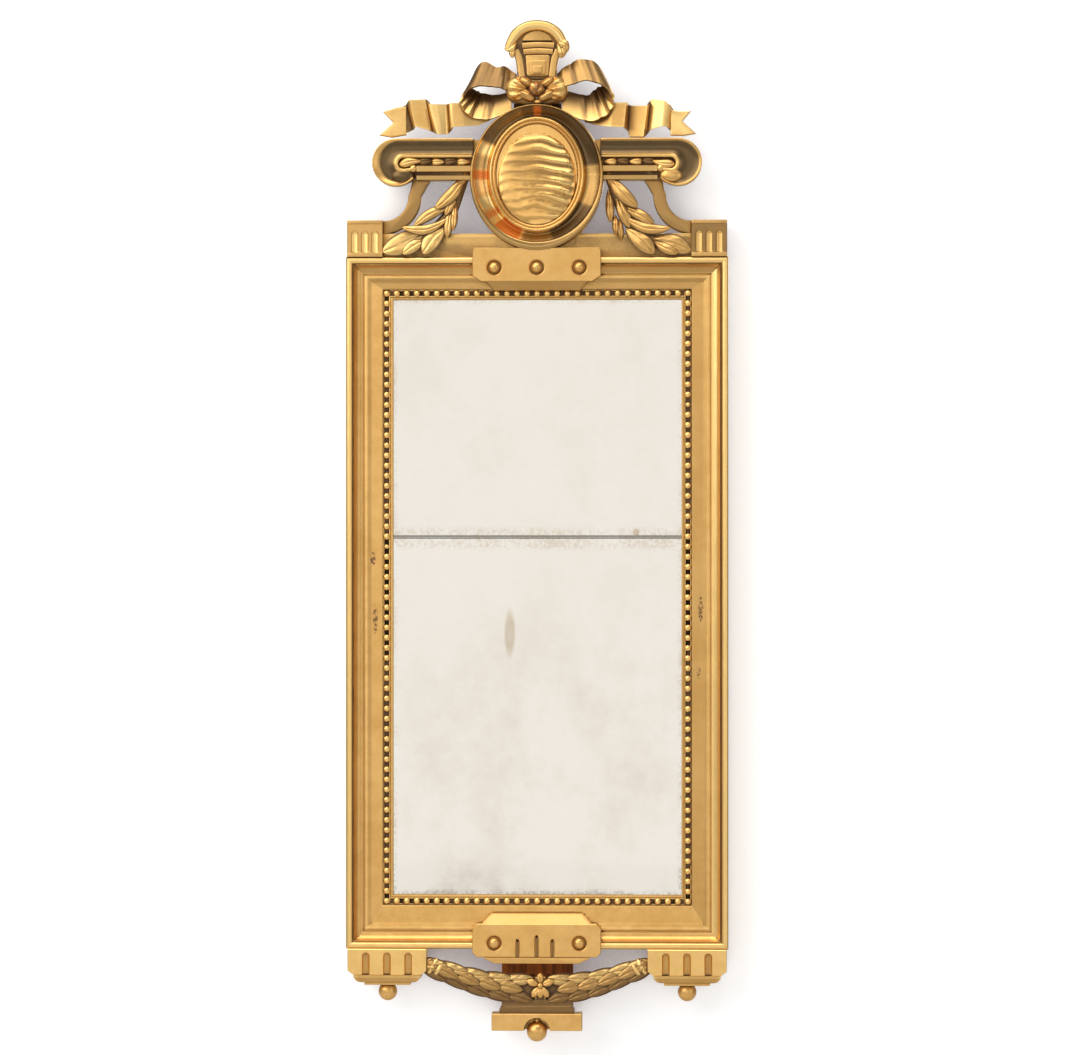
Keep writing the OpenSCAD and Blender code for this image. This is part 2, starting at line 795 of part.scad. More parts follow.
// A drooping side loop: an outer band around a hollow.
module bow_loop_right() color(gilt) {
    back = spine_front + tail_t;
    front = knot_depth - 8;
    inner = knot_half_w;
    base = knot_z - 620;
    outer = [
        [inner - 12, 600], [inner - 10, 626], [inner + 12, 638], [66, 637], [80, 618], [89, 602],
        [87, 583], [77, 570], [64, 566], [54, 570], [46, 580], [inner - 8, 588]
    ];
    hole = [[43, 598], [45, 609], [58, 611], [68, 606], [73, 597], [66, 594], [54, 594]];
    difference() {
        slab(back, front) translate([0, base]) difference() {
            polygon(smooth(outer));
            polygon(smooth(hole));
        }
        slab(front - 8, front + past) translate([0, base])
            polygon(smooth([[48, 592], [58, 595], [70, 592], [78, 588], [70, 577], [60, 574], [52, 580]]));
        slab(0, front + past) translate([inner - 40, 0]) square([40, 2 * knot_z]);
        slab(0, front + past) medallion_outline(scribe);
    }
}

module bow_loop_left() mirrored() bow_loop_right();

// A folded ribbon tail, from behind the loop to its forked end above the scroll.
module ribbon_tail_right() color(gilt) {
    z = bar_top;
    back = spine_front;
    front = back + tail_t;
    difference() {
        union() {
            slab(back, front) polygon([
                [40, z + 16], [70, z + 14], [92, z + 14], [106, z + 12.5], [111, z], [130, z],
                [133, z + 12], [156, z + 3], [187, z + 6], [174, z + 20], [182, z + 33],
                [154, z + 37], [133, z + 46], [128, z + 38], [107, z + 41], [88, z + 41],
                [66, z + 38], [40, z + 34]
            ]);
            slab(front - 2, front + 6) polygon([
                [111, z + 2], [129, z + 2], [128, z + 37], [109, z + 38]
            ]);
            slab(front - 2, front + 9) polygon([
                [133, z + 14], [154, z + 12], [153, z + 36], [134, z + 45]
            ]);
        }
        slab(0, front + 10) medallion_outline(scribe);
    }
}

module ribbon_tail_left() mirrored() ribbon_tail_right();

// ---- Laurel garlands ----

// Places along the fall of a garland, as shares of the way from the medallion to the
// corner block and from the frame up to the bar.
function garland_place(across, up) = [
    medallion_w / 2 + across * (block_inner - medallion_w / 2), frame_top + up * bar_rise
];

module garland_right() color(gilt) {
    back = crest_front;
    difference() {
        union() {
            slab(back, back + 8) polygon(smooth([
                garland_place(0.02, 1.08), garland_place(0.20, 0.95), garland_place(0.38, 0.66),
                garland_place(0.62, 0.45), garland_place(0.80, 0.22), garland_place(0.62, 0.08),
                garland_place(0.34, 0.10), garland_place(0.28, 0.34), garland_place(0.14, 0.58),
                garland_place(0.06, 0.86)
            ]));
            leaf(garland_place(0.20, 0.88), 56, 15, -50, back + 5, back + 13.5);
            leaf(garland_place(0.12, 0.62), 30, 11, -84, back, back + 9);
            leaf(garland_place(0.47, 0.51), 42, 14, -27, back + 4, back + 15);
            leaf(garland_place(0.55, 0.38), 46, 13, -9, back, back + 12);
            leaf(garland_place(0.42, 0.17), 34, 17, -55, back, back + 11);
            leaf(garland_place(0.76, 0.16), 48, 20, -8, back, back + 10);
        }
        // clear of the bar, the medallion and the frame
        slab(back - past, bar_depth - 3 + scribe) translate([0, bar_bottom - scribe])
            square([half_w, bar_h]);
        slab(0, bar_depth + 20) medallion_outline(scribe);
        slab(0, bar_depth + 20) translate([0, frame_top - 30]) square([half_w, 30]);
        slab(0, bar_depth + 20) translate([block_inner, frame_top]) square([half_w, top_block_h]);
        slab(0, bar_depth + 20) translate([0, frame_top])
            square([plaque_w / 2 + scribe, top_plaque_rise + scribe]);
    }
}

module garland_left() mirrored() garland_right();

// ---- Fluted blocks and plaques above ----

module top_block_right() color(gilt) {
    cap_h = 4;
    cap_out = 1.2;
    strip = 6;
    flutes = 3;
    flute_r = 3.8;
    front = frame_depth;
    pitch = top_block_w / (flutes + 0.5);
    middle = block_inner + top_block_w / 2;
    difference() {
        slab(block_back, front) translate([block_inner, frame_top]) square([top_block_w, top_block_h]);
        for (i = [0:flutes - 1])
            flute(middle + (i - (flutes - 1) / 2) * pitch, frame_top + strip,
                frame_top + top_block_h - cap_h - 7, flute_r, front, 2.4);
    }
    slab(front - past, front + cap_out) translate([block_inner, frame_top + top_block_h - cap_h])
        square([top_block_w, cap_h]);
    slab(front - past, front + cap_out / 2) translate([block_inner, frame_top])
        square([top_block_w, strip - 1]);
}

module top_block_left() mirrored() top_block_right();

// A stud sits in a cup that is cut into the front of a plaque.
cup_cut = 2.5;
stud_peg_r = 2.4;
stud_peg_l = 4;
module stud_shape(x, z) {
    floor_depth = plaque_depth - cup_cut;
    intersection() {
        translate([x, -floor_depth, z]) sphere(stud_r);
        slab(floor_depth, floor_depth + stud_r + past) translate([x, z]) square(4 * stud_r, center = true);
    }
    bore(x, z, floor_depth - stud_peg_l, floor_depth + past, stud_peg_r);
}

module stud_cup(x, z) {
    floor_depth = plaque_depth - cup_cut;
    translate([x, -floor_depth, z]) rotate([90, 0, 0]) {
        cylinder(r1 = stud_r + 0.8, r2 = stud_r + 3.3, h = cup_cut);
        translate([0, 0, -stud_peg_l - fit_clear])
            cylinder(r = stud_peg_r + fit_clear, h = stud_peg_l + past);
    }
}

top_plaque_top = frame_top + top_plaque_rise;
top_plaque_bottom = top_plaque_top - top_plaque_h;
top_stud_z = top_plaque_top - 23.5;
top_stud_places = [-stud_x, 0, stud_x];

module top_plaque() color(gilt) {
    half = plaque_w / 2;
    cut_x = 10.5;
    cut_z = 7;
    notch = 3;
    seat = frame_depth + fit_clear;
    difference() {
        slab(frieze_depth, plaque_depth) polygon([
            [-half + cut_x, top_plaque_bottom], [half - cut_x, top_plaque_bottom],
            [half, top_plaque_bottom + cut_z], [half, top_plaque_top - notch],
            [half - notch, top_plaque_top - notch], [half - notch, top_plaque_top],
            [notch - half, top_plaque_top], [notch - half, top_plaque_top - notch],
            [-half, top_plaque_top - notch], [-half, top_plaque_bottom + cut_z]
        ]);
        // scribed over the edge moulding of the frame
        slab(0, seat) translate([-half - past, frame_top - edge_w - fit_clear])
            square([plaque_w + 2 * past, edge_w + fit_clear]);
        slab(0, plaque_depth + past) medallion_outline(scribe);
        for (x = top_stud_places) stud_cup(x, top_stud_z);
    }
}

module top_plaque_studs() color(gilt) for (x = top_stud_places) stud_shape(x, top_stud_z);

// A sloping tablet beside a plaque, wide and thick at the plaque.
module plaque_wedge(wide, narrow, height, thick, thin) {
    intersection() {
        slab(frieze_depth, frieze_depth + thick)
            polygon([[-wide, 0], [wide, 0], [narrow, height], [-narrow, height]]);
        run(-wide, wide) polygon([
            [frieze_depth, 0], [frieze_depth + thick, 0], [frieze_depth + thin, height],
            [frieze_depth, height]
        ]);
    }
}

module top_plaque_apron() color(gilt)
    translate([0, 0, top_plaque_bottom]) mirror([0, 0, 1])
        plaque_wedge(plaque_w / 2 - 16.5, plaque_w / 2 - 25, plaque_cap_h - 2, 14, 4);

// ---- Apron ----

module bottom_block_right() color(gilt) {
    cut_x = 7;
    cut_z = 5;
    flutes = 3;
    flute_r = 4.5;
    flute_pitch = 25;
    front = frame_depth;
    difference() {
        slab(bottom_block_back, front) translate([bottom_block_x, frame_bottom]) polygon([
            [-bottom_block_w / 2, 0], [bottom_block_w / 2, 0],
            [bottom_block_w / 2, cut_z - bottom_block_h], [bottom_block_w / 2 - cut_x, -bottom_block_h],
            [cut_x - bottom_block_w / 2, -bottom_block_h], [-bottom_block_w / 2, cut_z - bottom_block_h]
        ]);
        for (i = [0:flutes - 1])
            flute(bottom_block_x + (i - (flutes - 1) / 2) * flute_pitch, bottom_block_z - past,
                frame_bottom - 4, flute_r, front, 3);
    }
}

module bottom_block_left() mirrored() bottom_block_right();

// Outline of the stepped moulding: a slab over a hollow neck.
module stepped_outline(half, step_in) {
    slab_h = 4;
    hollow_r = drop_h - slab_h;
    difference() {
        union() {
            translate([-half, -slab_h]) square([2 * half, slab_h]);
            translate([step_in - half, -drop_h]) square([2 * (half - step_in), drop_h - slab_h / 2]);
        }
        for (side = [-1, 1]) translate([side * (half - step_in), -drop_h]) circle(hollow_r);
    }
}

peg_l = 6;
peg_r = 3;
module drop_moulding_right() color(gilt) {
    half_d = (frame_depth - bottom_block_back) / 2;
    difference() {
        intersection() {
            translate([bottom_block_x, 0, bottom_block_z])
                slab(bottom_block_back, frame_depth) stepped_outline(bottom_block_w / 2 - 7, 5.5);
            translate([0, -drop_depth, bottom_block_z])
                run(bottom_block_x - 60, bottom_block_x + 60) stepped_outline(half_d, 4);
        }
        translate([bottom_block_x, -drop_depth, drop_z - past])
            cylinder(r = peg_r + fit_clear, h = peg_l + past + fit_clear);
    }
}

module drop_moulding_left() mirrored() drop_moulding_right();

// A turned ball with a peg, flattened where it meets what carries it.
module turned_ball(x, depth, z, radius) {
    sink = 2.7;
    translate([x, -depth, z]) {
        difference() {
            translate([0, 0, sink - radius]) sphere(radius);
            cylinder(r = radius + past, h = radius);
        }
        translate([0, 0, -past]) cylinder(r = peg_r, h = peg_l + past);
    }
}

module ball_drop_right() color(gilt) turned_ball(bottom_block_x, drop_depth, drop_z, ball_r);

module ball_drop_left() mirrored() ball_drop_right();

bottom_plaque_bottom = frame_bottom - bottom_plaque_drop;
bottom_plaque_top = bottom_plaque_bottom + bottom_plaque_h;
bottom_stud_z = bottom_plaque_bottom + 16.5;
bottom_stud_places = [-stud_x, stud_x];

module bottom_plaque() color(gilt) {
    half = plaque_w / 2;
    cut = 5;
    seat = frame_depth + fit_clear;
    flute_r = 3.4;
    flute_x = 20;
    difference() {
        slab(frieze_depth, plaque_depth) polygon([
            [cut - half, bottom_plaque_bottom], [half - cut, bottom_plaque_bottom],
            [half, bottom_plaque_bottom + cut], [half, bottom_plaque_top - cut],
            [half - cut, bottom_plaque_top], [cut - half, bottom_plaque_top],
            [-half, bottom_plaque_top - cut], [-half, bottom_plaque_bottom + cut]
        ]);
        slab(0, seat) translate([-half - past, frame_bottom])
            square([plaque_w + 2 * past, edge_w + fit_clear]);
        for (x = bottom_stud_places) stud_cup(x, bottom_stud_z);
        for (i = [-1:1])
            flute(i * flute_x, bottom_plaque_bottom - past, bottom_plaque_bottom + (i == 0 ? 26 : 21),
                flute_r, plaque_depth, 2.4);
    }
}

module bottom_plaque_studs() color(gilt) for (x = bottom_stud_places) stud_shape(x, bottom_stud_z);

module bottom_plaque_cap() color(gilt)
    translate([0, 0, bottom_plaque_top])
        plaque_wedge(plaque_w / 2 - 11, plaque_w / 2 - 22, plaque_cap_h, 15, 4);

foot_h = 8;
module bottom_plaque_foot() color(gilt) {
    half = plaque_w / 2 - 12;
    narrow = plaque_w / 2 - 26;
    slab(spine_front, plaque_depth - 4) translate([0, bottom_plaque_bottom])
        polygon([[-half, 0], [half, 0], [narrow, -foot_h], [-narrow, -foot_h]]);
}

module apron_board() color(bare_pine) {
    difference() {
        slab(spine_back, spine_front) translate([-apron_w / 2, base_plate_z + 4])
            square([apron_w, frame_bottom + spine_lap - base_plate_z - 4]);
        screw_shapes(apron_screw_places(), fit_clear);
    }
}

// Outline of half of the swag, from past the middle to inside the corner block.
module festoon_outline() {
    end = bottom_block_inner;
    top = festoon_top;
    low = festoon_bottom;
    polygon(smooth([
        [end + 6, frame_bottom - 5], [end - 14, frame_bottom - 9], [end - 33, frame_bottom - 18],
        [end - 50, top + 1], [end - 75, top - 1], [30, top], [-20, top - 2], [-20, low],
        [30, low], [48, low + 1], [60, low + 6.5], [76, low + 14], [92, low + 20],
        [end - 23, low + 27], [end - 9, low + 39], [end + 6, low + 43]
    ], 3));
}

// Half of the swag. It starts at the edge of the binding, and its leaves point there.
module festoon_half(edge) color(gilt) {
    leaves = 5;
    front = festoon_front;
    foot_bottom = bottom_plaque_bottom - foot_h;
    difference() {
        union() {
            slab(spine_front, front - 8) festoon_outline();
            for (i = [0:leaves - 1]) {
                share = (i + 0.5) / leaves;
                x = edge + share * (bottom_block_inner - edge);
                z = festoon_top - festoon_h / 2 + 32 * share * share;
                size = 34 - 10 * share;
                leaf([x, z + 5 - 2 * share], size, 13, 155 + 25 * share, front - 10, front - 1);
                leaf([x + 4, z - 6 + 2 * share], size, 13, 205 + 25 * share, front - 10, front);
            }
            // two bands where the swag meets its block
            for (i = [0, 1]) slab(front - 10, front - 3)
                translate([bottom_block_inner - 8 - 7 * i, frame_bottom - 17 - 4 * i]) rotate(-32)
                    square([4, 22], center = true);
        }
        slab(0, front + past) translate([bottom_block_inner, base_plate_z]) square([half_w, half_w]);
        slab(0, front + past) translate([edge - half_w, base_plate_z]) square([half_w, half_w]);
        slab(0, front + past) translate([0, base_plate_z]) square([half_w, festoon_bottom - base_plate_z]);
        slab(0, front + past) translate([0, foot_bottom - scribe]) square([plaque_w / 2 - 12, plaque_w]);
        slab(0, front + past) translate([0, bottom_plaque_bottom - scribe]) square([half_w, plaque_w]);
    }
}

module festoon_right() festoon_half(binding_half_w + binding_x);

module festoon_left() mirrored() festoon_half(binding_half_w - binding_x);

// The binding at the middle of the swag.
module festoon_binding() color(gilt) {
    clear = 0.2;
    slab(spine_front, festoon_front + 2) translate([
        binding_x - binding_half_w + clear, festoon_bottom
    ]) square([2 * (binding_half_w - clear), festoon_h]);
}

module drop_pedestal() color(gilt) {
    half = base_plate_half_w - 9;
    hollow = 5;
    difference() {
        slab(spine_front, festoon_front) difference() {
            translate([-half, pedestal_bottom]) square([2 * half, pedestal_h]);
            for (side = [-1, 1]) translate([side * half, pedestal_top - 3]) circle(hollow - 1);
        }
    }
}

centre_recess_r = centre_ball_r + 3;
centre_peg_l = centre_recess_r + 4;

module drop_plate() color(gilt) {
    front = festoon_front + 4;
    difference() {
        slab(spine_front, front) translate([-base_plate_half_w, base_plate_z])
            square([2 * base_plate_half_w, base_plate_h]);
        slab(ball_centre_depth - centre_recess_r, front + past)
            translate([0, base_plate_z]) circle(centre_recess_r);
        translate([0, -ball_centre_depth, base_plate_z])
            cylinder(r = peg_r + fit_clear, h = centre_peg_l + fit_clear);
        screw_shapes(apron_screw_places(), fit_clear);
    }
}

// The ball hangs in its round recess on a peg.
module ball_drop_centre() color(gilt) {
    translate([0, -ball_centre_depth, base_plate_z]) {
        translate([0, 0, -centre_ball_fall]) sphere(centre_ball_r);
        cylinder(r = peg_r, h = centre_peg_l);
    }
}

// ---- Hanger ----

hanger_nail_r = 1.2;
hanger_nail_l = 8;
function hanger_nail_places() = [
    for (side = [-1, 1]) for (end = [-1, 1])
        [side * (hanger_plate_half_w - 4), eye_z + end * (hanger_plate_half_h - 4)]
];

module hanger_nail_shapes(grow = 0) {
    for (p = hanger_nail_places())
        bore(p[0], p[1], plate_back - 0.1, plate_back + hanger_nail_l, hanger_nail_r + grow);
}

module staple_leg(grow = 0) {
    bore(0, eye_z, eye_depth + eye_r + 0.5, spine_front - 2, staple_leg_r + grow);
}

module hanger_plate() color(iron) {
    difference() {
        slab(plate_back, spine_back) translate([-hanger_plate_half_w, eye_z - hanger_plate_half_h])
            square([2 * hanger_plate_half_w, 2 * hanger_plate_half_h]);
        slab(0, spine_back + past) translate([0, eye_z])
            square([eye_t + 2 * fit_clear, 2 * eye_outer_r + 2 * fit_clear], center = true);
        hanger_nail_shapes(fit_clear);
    }
    // the nails are driven home and riveted over the plate
    for (p = hanger_nail_places()) {
        bore(p[0], p[1], plate_back - 0.8, plate_back, 2.4);
        bore(p[0], p[1], plate_back - 0.8, plate_back + hanger_nail_l, hanger_nail_r);
    }
}

// An eye around the pin of the ring, with a leg driven into the spine.
module hanger_staple() color(iron) {
    difference() {
        union() {
            translate([-eye_t / 2, -eye_depth, eye_z]) rotate([0, 90, 0])
                cylinder(r = eye_outer_r, h = eye_t);
            staple_leg();
        }
        translate([-eye_t, -eye_depth, eye_z]) rotate([0, 90, 0]) cylinder(r = eye_r, h = 2 * eye_t);
    }
}

// The ring hangs below the eye, from a pin between two short legs.
ring_pin_r = ring_bar / 2 - 0.2;
ring_eye_gap = 0.7;
ring_z = eye_z - eye_outer_r - ring_eye_gap - ring_r - ring_bar / 2;
module hanger_ring() color(iron) {
    leg_x = eye_t / 2 + 2.5;
    leg_bottom = ring_z + ring_r - ring_bar / 2;
    translate([0, -eye_depth + ring_bar / 2, ring_z]) rotate([90, 0, 0])
        rotate_extrude() translate([ring_r - ring_bar / 2, 0]) square(ring_bar);
    for (x = [leg_x, -leg_x - ring_bar])
        slab(eye_depth - ring_bar / 2, eye_depth + ring_bar / 2) translate([x, leg_bottom])
            square([ring_bar, eye_z + ring_bar / 2 - leg_bottom]);
    translate([-leg_x - ring_bar / 2, -eye_depth, eye_z]) rotate([0, 90, 0])
        cylinder(r = ring_pin_r, h = 2 * leg_x + ring_bar);
}

left_stile();
right_stile();
top_rail();
bottom_rail();
mitre_keys();
pearl_strip_left();
pearl_strip_right();
pearl_strip_top();
pearl_strip_bottom();
upper_mirror_plate();
lower_mirror_plate();
glass_blocks();
backboard_upper();
backboard_middle();
backboard_lower();
backboard_nails();
crest_board();
crest_spine();
crest_dowels();
crest_screws();
scroll_bar_left();
scroll_bar_right();
carved_strip_left();
carved_strip_right();
medallion_ring();
medallion_field();
bow_knot();
bow_top_loop();
bow_loop_left();
bow_loop_right();
ribbon_tail_left();
ribbon_tail_right();
garland_left();
garland_right();
top_block_left();
top_block_right();
top_plaque();
top_plaque_apron();
top_plaque_studs();
bottom_block_left();
bottom_block_right();
drop_moulding_left();
drop_moulding_right();
ball_drop_left();
ball_drop_right();
bottom_plaque();
bottom_plaque_cap();
bottom_plaque_foot();
bottom_plaque_studs();
festoon_left();
festoon_right();
festoon_binding();
apron_board();
apron_screws();
drop_pedestal();
drop_plate();
ball_drop_centre();
hanger_plate();
hanger_staple();
hanger_ring();
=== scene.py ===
"""The looks of a giltwood pier mirror: carving, gilding, old glass and a plain studio.

Shapes are worked out in millimetres, as x, height and depth out from the wall, and are
placed in the frame's metres when each mesh is made.
"""

import json
import math

import bmesh
import bpy
import numpy as np
from bpy.props import FloatProperty, FloatVectorProperty, IntProperty, PointerProperty
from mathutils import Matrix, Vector, noise
from mathutils.bvhtree import BVHTree

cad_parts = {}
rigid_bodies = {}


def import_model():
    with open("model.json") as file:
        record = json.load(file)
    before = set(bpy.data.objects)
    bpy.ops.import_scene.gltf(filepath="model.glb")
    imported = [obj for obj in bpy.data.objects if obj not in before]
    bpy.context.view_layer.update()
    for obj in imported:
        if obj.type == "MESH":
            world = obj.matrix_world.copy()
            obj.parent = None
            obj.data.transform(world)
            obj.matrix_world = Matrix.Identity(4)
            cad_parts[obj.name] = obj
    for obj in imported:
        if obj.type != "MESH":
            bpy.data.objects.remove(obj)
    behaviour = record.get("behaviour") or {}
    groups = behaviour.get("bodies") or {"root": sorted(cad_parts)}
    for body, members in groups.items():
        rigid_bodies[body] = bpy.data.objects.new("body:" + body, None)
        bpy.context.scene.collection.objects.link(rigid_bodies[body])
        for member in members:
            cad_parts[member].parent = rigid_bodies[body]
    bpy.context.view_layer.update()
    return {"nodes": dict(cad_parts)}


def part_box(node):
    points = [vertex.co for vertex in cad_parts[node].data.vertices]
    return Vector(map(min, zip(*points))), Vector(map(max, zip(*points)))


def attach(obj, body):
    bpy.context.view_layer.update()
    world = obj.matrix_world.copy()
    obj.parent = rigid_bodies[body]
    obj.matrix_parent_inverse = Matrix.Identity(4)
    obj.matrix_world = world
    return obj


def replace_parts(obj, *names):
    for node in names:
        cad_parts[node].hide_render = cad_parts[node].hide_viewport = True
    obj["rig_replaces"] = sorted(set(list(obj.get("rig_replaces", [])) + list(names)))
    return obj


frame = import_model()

bl_info = {
    "name": "Giltwood Pier Mirror",
    "version": (1, 0, 0),
    "blender": (4, 5, 0),
    "location": "View3D > Sidebar > Pier Mirror",
    "description": "Carves, gilds and lights a pier mirror around its fixed frame",
    "category": "Object",
}

MM = 0.001
SIDES = (("left", -1), ("right", 1))
finishes = {}


class Box:
    """The box of a frame node in millimetres, with depth measured out from the wall."""

    def __init__(self, node):
        low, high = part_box(node)
        self.left, self.right = low.x / MM, high.x / MM
        self.bottom, self.top = low.z / MM, high.z / MM
        self.back, self.front = -high.y / MM, -low.y / MM
        self.width, self.height = self.right - self.left, self.top - self.bottom
        self.deep = self.front - self.back
        self.x, self.z = (self.left + self.right) / 2, (self.bottom + self.top) / 2
        self.mid_depth = (self.back + self.front) / 2


HALF_W = Box("right_stile").right
FRAME_TOP = Box("top_rail").top
FRAME_BOTTOM = Box("bottom_rail").bottom
STILE_W = Box("right_stile").width
RAIL_DEPTH = Box("right_stile").front
TOP_RAIL_W = Box("top_rail").height
BOTTOM_RAIL_W = Box("bottom_rail").height
GLASS_FRONT = Box("upper_mirror_plate").front
FRIEZE_DEPTH = Box("top_plaque").back
BED_DEPTH = Box("pearl_strip_left").back
BOARD_FRONT = Box("crest_board").front
SPINE_FRONT = Box("crest_spine").front
BAR = Box("scroll_bar_right")
RING = Box("medallion_ring")
KNOT = Box("bow_knot")


# ---- Settings ----


def colour(name, description, *default):
    """A colour to set."""
    return FloatVectorProperty(name=name, description=description, subtype="COLOR", default=default)


def length(name, description, millimetres):
    """A length to set."""
    return FloatProperty(name=name, description=description, unit="LENGTH", default=millimetres * MM)


def power(name, description, watts):
    """A light's power to set."""
    return FloatProperty(name=name, description=description, unit="POWER", default=watts)


class GiltingColours(bpy.types.PropertyGroup):
    """Colours of the gilding and of what shows through it."""

    leaf_light: colour("Light Leaf", "Clean gold leaf", 0.90, 0.545, 0.185)
    leaf_deep: colour("Deep Leaf", "Gold leaf over thin size", 0.745, 0.415, 0.12)
    bole: colour("Bole", "Red clay under rubbed leaf", 0.50, 0.12, 0.028)
    # Dust also colours the painted shade: leaf outlines, dark flutes and folds, the festoon's body.
    dust_and_shade: colour("Dust", "Old dust in the hollows", 0.13, 0.062, 0.02)
    # Tarnish also colours painted shade, on faces turned from the light and in folds and troughs.
    tarnish: colour("Tarnish", "Darkened burnished leaf", 0.215, 0.122, 0.047)
    bare: colour("Bare Wood", "Wood and gesso at a chip", 0.16, 0.075, 0.03)
    # Rubbed leaf is also the colour of painted highlights.
    rubbed: colour("Rubbed Leaf", "Bright leaf on rubbed edges", 1.0, 0.665, 0.245)
    # Sooty leaf also colours the painted dark reflections in the bar's hollow and the ring's cove.
    sooty_and_dark_reflection: colour("Sooty Leaf", "Burnished leaf gone dark", 0.135, 0.086, 0.040)
    # The painted shade between the pearls.
    pearl_gap_shade: colour("Grime", "Black dirt between the pearls", 0.018, 0.008, 0.003)
    # Bright bole also colours the painted red reflections in the ring's cove.
    clay_and_red_reflection: colour("Bright Bole", "Red clay under burnished leaf", 0.66, 0.175, 0.022)
    plain_back: colour("Plain Back", "Bare wood on carved backs", 0.27, 0.15, 0.065)


class PlainColours(bpy.types.PropertyGroup):
    """Colours of the old silvered glass, the pine and the iron."""

    silver: colour("Silver", "Silvering seen through glass", 0.69, 0.655, 0.60)
    foxing: colour("Foxing", "Clouded silvering", 0.50, 0.42, 0.31)
    pine: colour("Pine", "Bare old pine", 0.36, 0.21, 0.10)
    pine_dark: colour("Dark Pine", "Late wood and stain in the pine", 0.17, 0.085, 0.038)
    stained: colour("Stained Pine", "Red-brown stain on the apron board", 0.56, 0.16, 0.012)
    stained_dark: colour("Dark Stain", "Dark grain in the stained board", 0.15, 0.045, 0.008)
    iron: colour("Iron", "Forged iron", 0.07, 0.062, 0.056)
    rust: colour("Rust", "Light rust on the iron", 0.21, 0.085, 0.035)


class FrameSizes(bpy.types.PropertyGroup):
    """Sizes of the mouldings and of the pearls."""

    fillet: length("Outer Fillet", "Width of the rounded outer edge", 8)
    cove: length("Cove", "Radius of the cove", 10)
    bead: length("Bead", "Diameter of the bead inside the cove", 5)
    pearl: length("Pearl", "Diameter of a pearl", 7.8)
    pearl_pitch: length("Pearl Pitch", "Distance between pearls", 12)
    unevenness: length("Unevenness", "How far the hand-worked faces wander", 0.16)


class CarvingSizes(bpy.types.PropertyGroup):
    """How the carving is rippled and where dust lies on it."""

    ripples: IntProperty(
        name="Ripples", description="Ripples across the oval field", default=10, min=4, max=16
    )
    dust_reach: length("Dust Reach", "How far a hollow is sheltered from", 8)


class StageSettings(bpy.types.PropertyGroup):
    """The camera and the light."""

    distance: FloatProperty(name="Distance", description="From camera to mirror", unit="LENGTH", default=5.5)
    azimuth: FloatProperty(
        name="Azimuth", description="Camera's turn to the right", subtype="ANGLE", default=math.radians(2)
    )
    pixel: length("Pixel", "Size on the mirror of a pixel of the photograph", 1.175)
    room: FloatProperty(name="Room Light", description="Light from all round", default=0.32)
    key: power("Window Light", "Power of the light from the upper left", 84)
    ceiling: power("Ceiling Card", "Power of the light from above", 48)
    front: power("Front Card", "Power of the white card behind the camera", 89)
    right: power("Right Card", "Power of the card on the right", 22)
    back: power("Back Light", "Power of the light on the back", 40)


class PierMirrorSettings(bpy.types.PropertyGroup):
    """All settings of the pier mirror."""

    gilding: PointerProperty(type=GiltingColours)
    plain: PointerProperty(type=PlainColours)
    frame: PointerProperty(type=FrameSizes)
    carving: PointerProperty(type=CarvingSizes)
    stage: PointerProperty(type=StageSettings)


# ---- Shapes ----


def arc(centre, radius, start, end, steps):
    """Points round an arc, from one angle to another in degrees."""
    angles = np.radians(np.linspace(start, end, steps + 1))
    return [(centre[0] + radius * math.cos(a), centre[1] + radius * math.sin(a)) for a in angles]


def oval(centre, half_w, half_h, steps):
    """Points round an oval."""
    angles = np.linspace(0, math.tau, steps, endpoint=False)
    return [(centre[0] + half_w * math.cos(a), centre[1] + half_h * math.sin(a)) for a in angles]


def rectangle(left, right, bottom, top):
    """The corners of a rectangle."""
    return [(left, bottom), (right, bottom), (right, top), (left, top)]


def level(start, end, height, count):
    """Evenly spaced points on a level line."""
    return [(x, height) for x in np.linspace(start, end, count)]


def refined(points, longest, closed=True):
    """The same outline with no side over the given length."""
    out = []
    ends = points[1:] + points[:1] if closed else points[1:]
    for a, b in zip(points, ends):
        parts = max(1, math.ceil(math.dist(a, b) / longest))
        out += [tuple(np.add(a, np.subtract(b, a) * i / parts)) for i in range(parts)]
    return out if closed else out + [points[-1]]


def softened(points, radius, steps=3):
    """A closed outline with each real corner rounded, as gesso rounds it."""
    out = []
    longest_share, least_turn = 0.45, 25
    for before, here, after in zip(points[-1:] + points[:-1], points, points[1:] + points[:1]):
        here, to_before, to_after = np.array(here), np.subtract(before, here), np.subtract(after, here)
        lengths = np.linalg.norm(to_before), np.linalg.norm(to_after)
        straight = -float(to_before @ to_after) / (lengths[0] * lengths[1])
        if straight > math.cos(math.radians(least_turn)):
            out.append(tuple(here))
            continue
        start = here + to_before * min(longest_share, radius / lengths[0])
        end = here + to_after * min(longest_share, radius / lengths[1])
        for t in np.linspace(0, 1, steps + 1):
            out.append(tuple((1 - t) ** 2 * start + 2 * t * (1 - t) * here + t * t * end))
    return out


def spline(points, steps=8, closed=False):
    """A smooth curve through points of any dimension."""
    p = np.array(points, float)
    count = len(p)
    out = []
    for i in range(count if closed else count - 1):
        near = [(i + k) % count if closed else min(max(i + k, 0), count - 1) for k in (-1, 0, 1, 2)]
        a, b, c, d = p[near]
        for t in np.arange(steps) / steps:
            bend, turn = 2 * a - 5 * b + 4 * c - d, 3 * b - a - 3 * c + d
            out.append(0.5 * (2 * b + (c - a) * t + bend * t**2 + turn * t**3))
    return np.array(out if closed else out + [p[-1]])


def wander(points, scale, amount, seed=0.0):
    """Smooth unevenness at each of a list of (x, height, depth) points."""
    return np.array([amount * noise.noise(Vector(p) / scale + Vector((seed, 0, 0))) for p in points])


